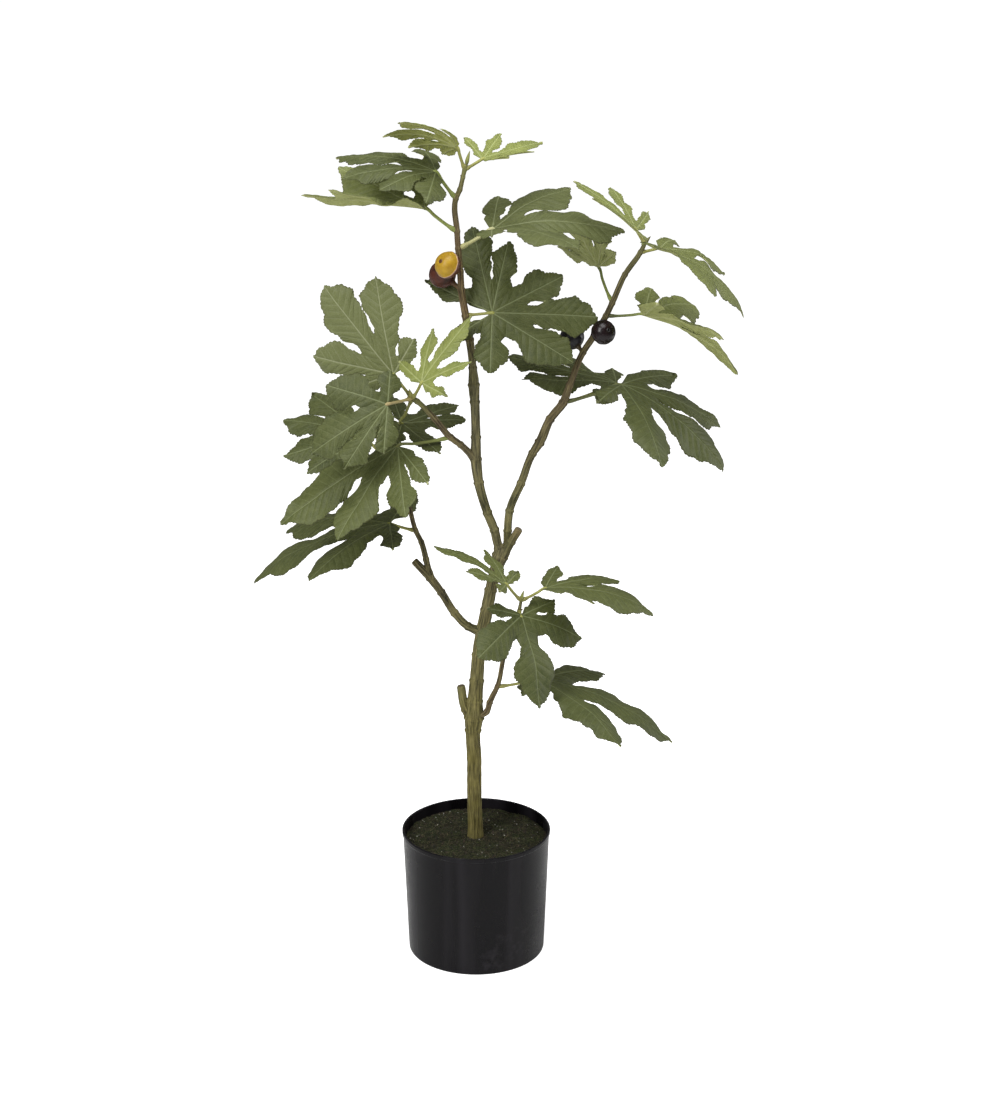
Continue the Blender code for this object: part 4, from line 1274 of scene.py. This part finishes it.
def make_stalk(name, base, turn):
    """A bowed stalk from its stem into the blade's base, thickened at both of its ends."""
    stem, joint = LEAVES[name][:2]
    share, foot_tint, end_tint = STALKS.get(name, PLAIN_STALK)
    start = ROUTES[stem][0][joint]
    face = turn[:, 2]
    side = 1.0 if (start - base) @ face > 0.0 else -1.0
    bow = face * side * 0.025 * np.linalg.norm(base - start)
    inward = turn[:, 0] * 0.003 - face * 0.0009
    knots = np.array((start, start * 0.68 + base * 0.32 + bow, start * 0.32 + base * 0.68 + bow,
                      base - face * 0.0007, base + inward))
    line = smooth(knots, 34)
    along = np.linspace(0.0, 1.0, len(line))
    radius = STALK_RADIUS * share * (1.0 + 0.55 * np.exp(-((along - 0.12) / 0.10) ** 2)
                                     + 0.22 * np.exp(-((along - 0.93) / 0.07) ** 2))
    radius = radius * np.where(along > 0.94, 1.0 - (along - 0.94) / 0.09, 1.0)
    points, faces = carried(line, np.repeat(radius[:, None], STALK_SIDES, axis=1), STALK_SIDES, 0.5)
    colours = blended((foot_tint, end_tint), per_point(along, STALK_SIDES))
    make_piece(name.replace("leaf", "stalk") + "_skin", points, faces, [STALK_SKIN],
               [name.replace("leaf", "stalk")], colours=colours)


# Buds: (stem, its joint, way out, length and radius in mm, colour).
FRESH_BUD = (0.250, 0.270, 0.070)
BUDS = (
    ("left_leader", 19, (1, 0, 6), 13, 2.0, FRESH_BUD),
    ("left_leader", 17, (-6, -2, 5), 5, 1.5, (0.110, 0.100, 0.040)),
    ("left_leader", 11, (6, -2, 3), 5, 1.8, (0.080, 0.045, 0.028)),
    ("right_leader", 15, (5, -3, 8), 10, 2.1, (0.150, 0.150, 0.050)),
    ("right_leader", 7, (-6, -2, 4), 5, 1.9, (0.050, 0.036, 0.022)),
    ("right_leader", 6, (6, -3, 3), 5, 1.9, (0.050, 0.036, 0.022)),
    ("left_branch", 5, (-3, -2, 7), 12, 2.4, (0.330, 0.320, 0.090)),
    ("left_branch", 5, (-7, -3, 2), 8, 2.0, (0.360, 0.330, 0.100)),
    ("left_branch", 5, (3, -5, 5), 8, 1.9, (0.260, 0.260, 0.070)),
    ("lower_left_twig", 6, (-2, 1, 6), 8, 1.9, (0.100, 0.110, 0.040)),
    ("lower_right_twig", 7, (1, 0, 6), 12, 2.0, FRESH_BUD),
    ("lower_right_twig", 6, (5, -3, 4), 6, 1.6, (0.150, 0.120, 0.045)),
)


def make_bud(number, stem, joint, way, length, radius, tint):
    """A pointed bud: a tube whose radius swells over its foot and closes in a fine tip."""
    way = unit(way)
    start = ROUTES[stem][0][joint] - way * 0.001
    steps = np.array((0.0, 0.2, 0.45, 0.7, 0.9, 1.0))
    widths = np.array((0.75, 1.0, 0.90, 0.60, 0.28, 0.07)) * radius * MM
    bend = np.array((0.10, 0.0, 0.05)) * length * MM
    knots = np.column_stack((start + (length * MM * steps)[:, None] * way
                             + (steps ** 2)[:, None] * bend, widths))
    curve = smooth(knots, 24)
    angle = turns(STALK_SIDES)
    radii = curve[:, 3:] * (1.0 + 0.10 * np.cos(3 * angle))
    points, faces = carried(curve[:, :3], radii, STALK_SIDES, 0.3)
    share = per_point(np.linspace(0.0, 1.0, 24), STALK_SIDES)
    colours = blended((np.array(tint) * 0.45, tint, tint, np.array(tint) * 0.7), share)
    make_piece("bud_%d" % number, points, faces, [STALK_SKIN], colours=colours)


for bud_number, bud in enumerate(BUDS, 1):
    make_bud(bud_number, *bud)
for leaf_name in LEAVES:
    make_leaf(leaf_name)

# -------------------------------------------------------------------------- the figs
# Round fruits on short necks, each with a small eye at its far end.  The ripe
# yellow one has waxy, lightly freckled skin and sits in a brown husk; the
# others are red-brown and purple-black, with soft mottling under the gloss.

FIG_RADIUS = 0.0130
FIG_SIDES = 72

# Each fig is (stem, joint, way out, neck in mm, share of FIG_RADIUS,
#              main colour, second colour, colour of the eye, roughness,
#              share of it that sits in a brown husk with a pale rim).
FIGS = {
    "yellow_fig": ("left_leader", 12, (-13, -16, 10), 6, 1.0,
                   (0.47, 0.290, 0.018), (0.35, 0.195, 0.012), (0.10, 0.035, 0.010), 0.33, 0.58),
    "plum_fig": ("left_leader", 11, (-20, 9, 15), 8, 1.1,
                 (0.080, 0.020, 0.010), (0.022, 0.0080, 0.0060), (0.012, 0.006, 0.004), 0.34, 0.0),
    "purple_fig": ("right_leader", 10, (10, -20, 9), 6, 0.97,
                   (0.0050, 0.0020, 0.0032), (0.013, 0.0048, 0.0055), (0.004, 0.003, 0.003),
                   0.18, 0.0),
    "black_fig": ("right_leader", 9, (-11, 9, 14), 4, 1.0,
                  (0.0060, 0.0055, 0.0080), (0.012, 0.010, 0.015), (0.004, 0.003, 0.003),
                  0.26, 0.0),
}


def fig_skin(name, main, second, eye, roughness, husk):
    """Waxy skin: two colours in soft clouds, pale freckles, darker round the eye.

    The points' tint holds the share from the neck (0) to the eye (1) in its red.
    """
    finish = Finish(name + "_skin", Metallic=0.0, Specular_IOR_Level=0.35)
    tint = finish.tint()
    along = finish.node("ShaderNodeSeparateColor", None, {0: tint})
    clouds = finish.noise(110.0, 4.0)
    freckles = finish.between(finish.noise(1500.0, 3.0), 0.64, 0.72)
    skin = finish.mixed(finish.between(clouds, 0.38, 0.66), main, second)
    skin = finish.mixed(finish.between(along, 0.22, 0.0) * 0.55, skin, (0.20, 0.14, 0.035))
    pale = tuple(min(1.0, part * 1.5 + 0.03) for part in main)
    skin = finish.mixed(freckles * 0.40, skin, pale)
    skin = finish.mixed(finish.between(along, 0.915, 0.945), skin, eye)
    if husk:
        skin = finish.mixed(finish.between(along, husk, husk - 0.008), skin, (0.42, 0.27, 0.20))
        skin = finish.mixed(finish.between(along, husk - 0.016, husk - 0.022), skin,
                            (0.100, 0.034, 0.018))
    return finish.done(skin, roughness + clouds * 0.14 + freckles * 0.1,
                       clouds * 0.6 + freckles * 0.4, 0.0003, 0.6)


def make_fig(name):
    """A turned body whose radius also swells in soft ribs, turned to face away from its stem.

    The outline's points are joined by a smooth curve; the ribs are a cosine of eleven
    waves round the fig, strongest near the neck.  A husk stands out from the skin by a
    fourteenth of the radius, up to its share of the outline.
    """
    stem, joint, way, neck, share, *looks = FIGS[name]
    size = FIG_RADIUS * share
    places, widths = ROUTES[stem]
    way = unit(way)
    start = places[joint] + way * widths[joint] * 0.6
    reach = neck * MM + widths[joint] * 0.4
    outline = np.array((
        (0.17 * size, 0.0), (0.16 * size, 0.6 * reach), (0.24 * size, reach),
        (0.52 * size, reach + 0.16 * size), (0.80 * size, reach + 0.40 * size),
        (0.97 * size, reach + 0.72 * size), (1.00 * size, reach + 1.02 * size),
        (0.88 * size, reach + 1.42 * size), (0.60 * size, reach + 1.73 * size),
        (0.30 * size, reach + 1.87 * size), (0.15 * size, reach + 1.88 * size),
        (0.11 * size, reach + 1.94 * size), (0.06 * size, reach + 1.93 * size),
        (0.015 * size, reach + 1.84 * size)))
    line = smooth(np.column_stack((outline, np.zeros(len(outline)))), 90)[:, :2]
    along = line[:, 1] / line[:, 1].max()
    angle = turns(FIG_SIDES)
    strong = np.sin(along * math.pi) * (1.2 - along)
    ribs = 1.0 + 0.022 * np.cos(11 * angle)[None] * strong[:, None]
    ribs += 0.012 * rolling(np.cos(angle)[None] * line[:, :1], np.sin(angle)[None] * line[:, :1]
                            + line[:, 1:], 0.012, len(name))
    step = np.linspace(0.0, 1.0, len(line))
    ribs += 0.07 * np.clip((looks[-1] - step) / 0.01, 0.0, 1.0)[:, None]
    across = unit(np.cross(way, (0.0, 0.0, 1.0)))
    up = np.cross(across, way)
    radius = line[:, :1] * ribs
    points = (start + line[:, 1, None, None] * way + (radius * np.cos(angle))[..., None] * across
              + (radius * np.sin(angle))[..., None] * up).reshape(-1, 3)
    points = np.vstack((points, start - way * 0.0005, start + way * line[-1, 1]))
    colours = np.repeat(per_point(step, FIG_SIDES)[:, None], 3, axis=1)
    make_piece(name + "_fruit", points, ring_faces(len(line), FIG_SIDES),
               [fig_skin(name, *looks)], [name], colours=colours)


for fig_name in FIGS:
    make_fig(fig_name)
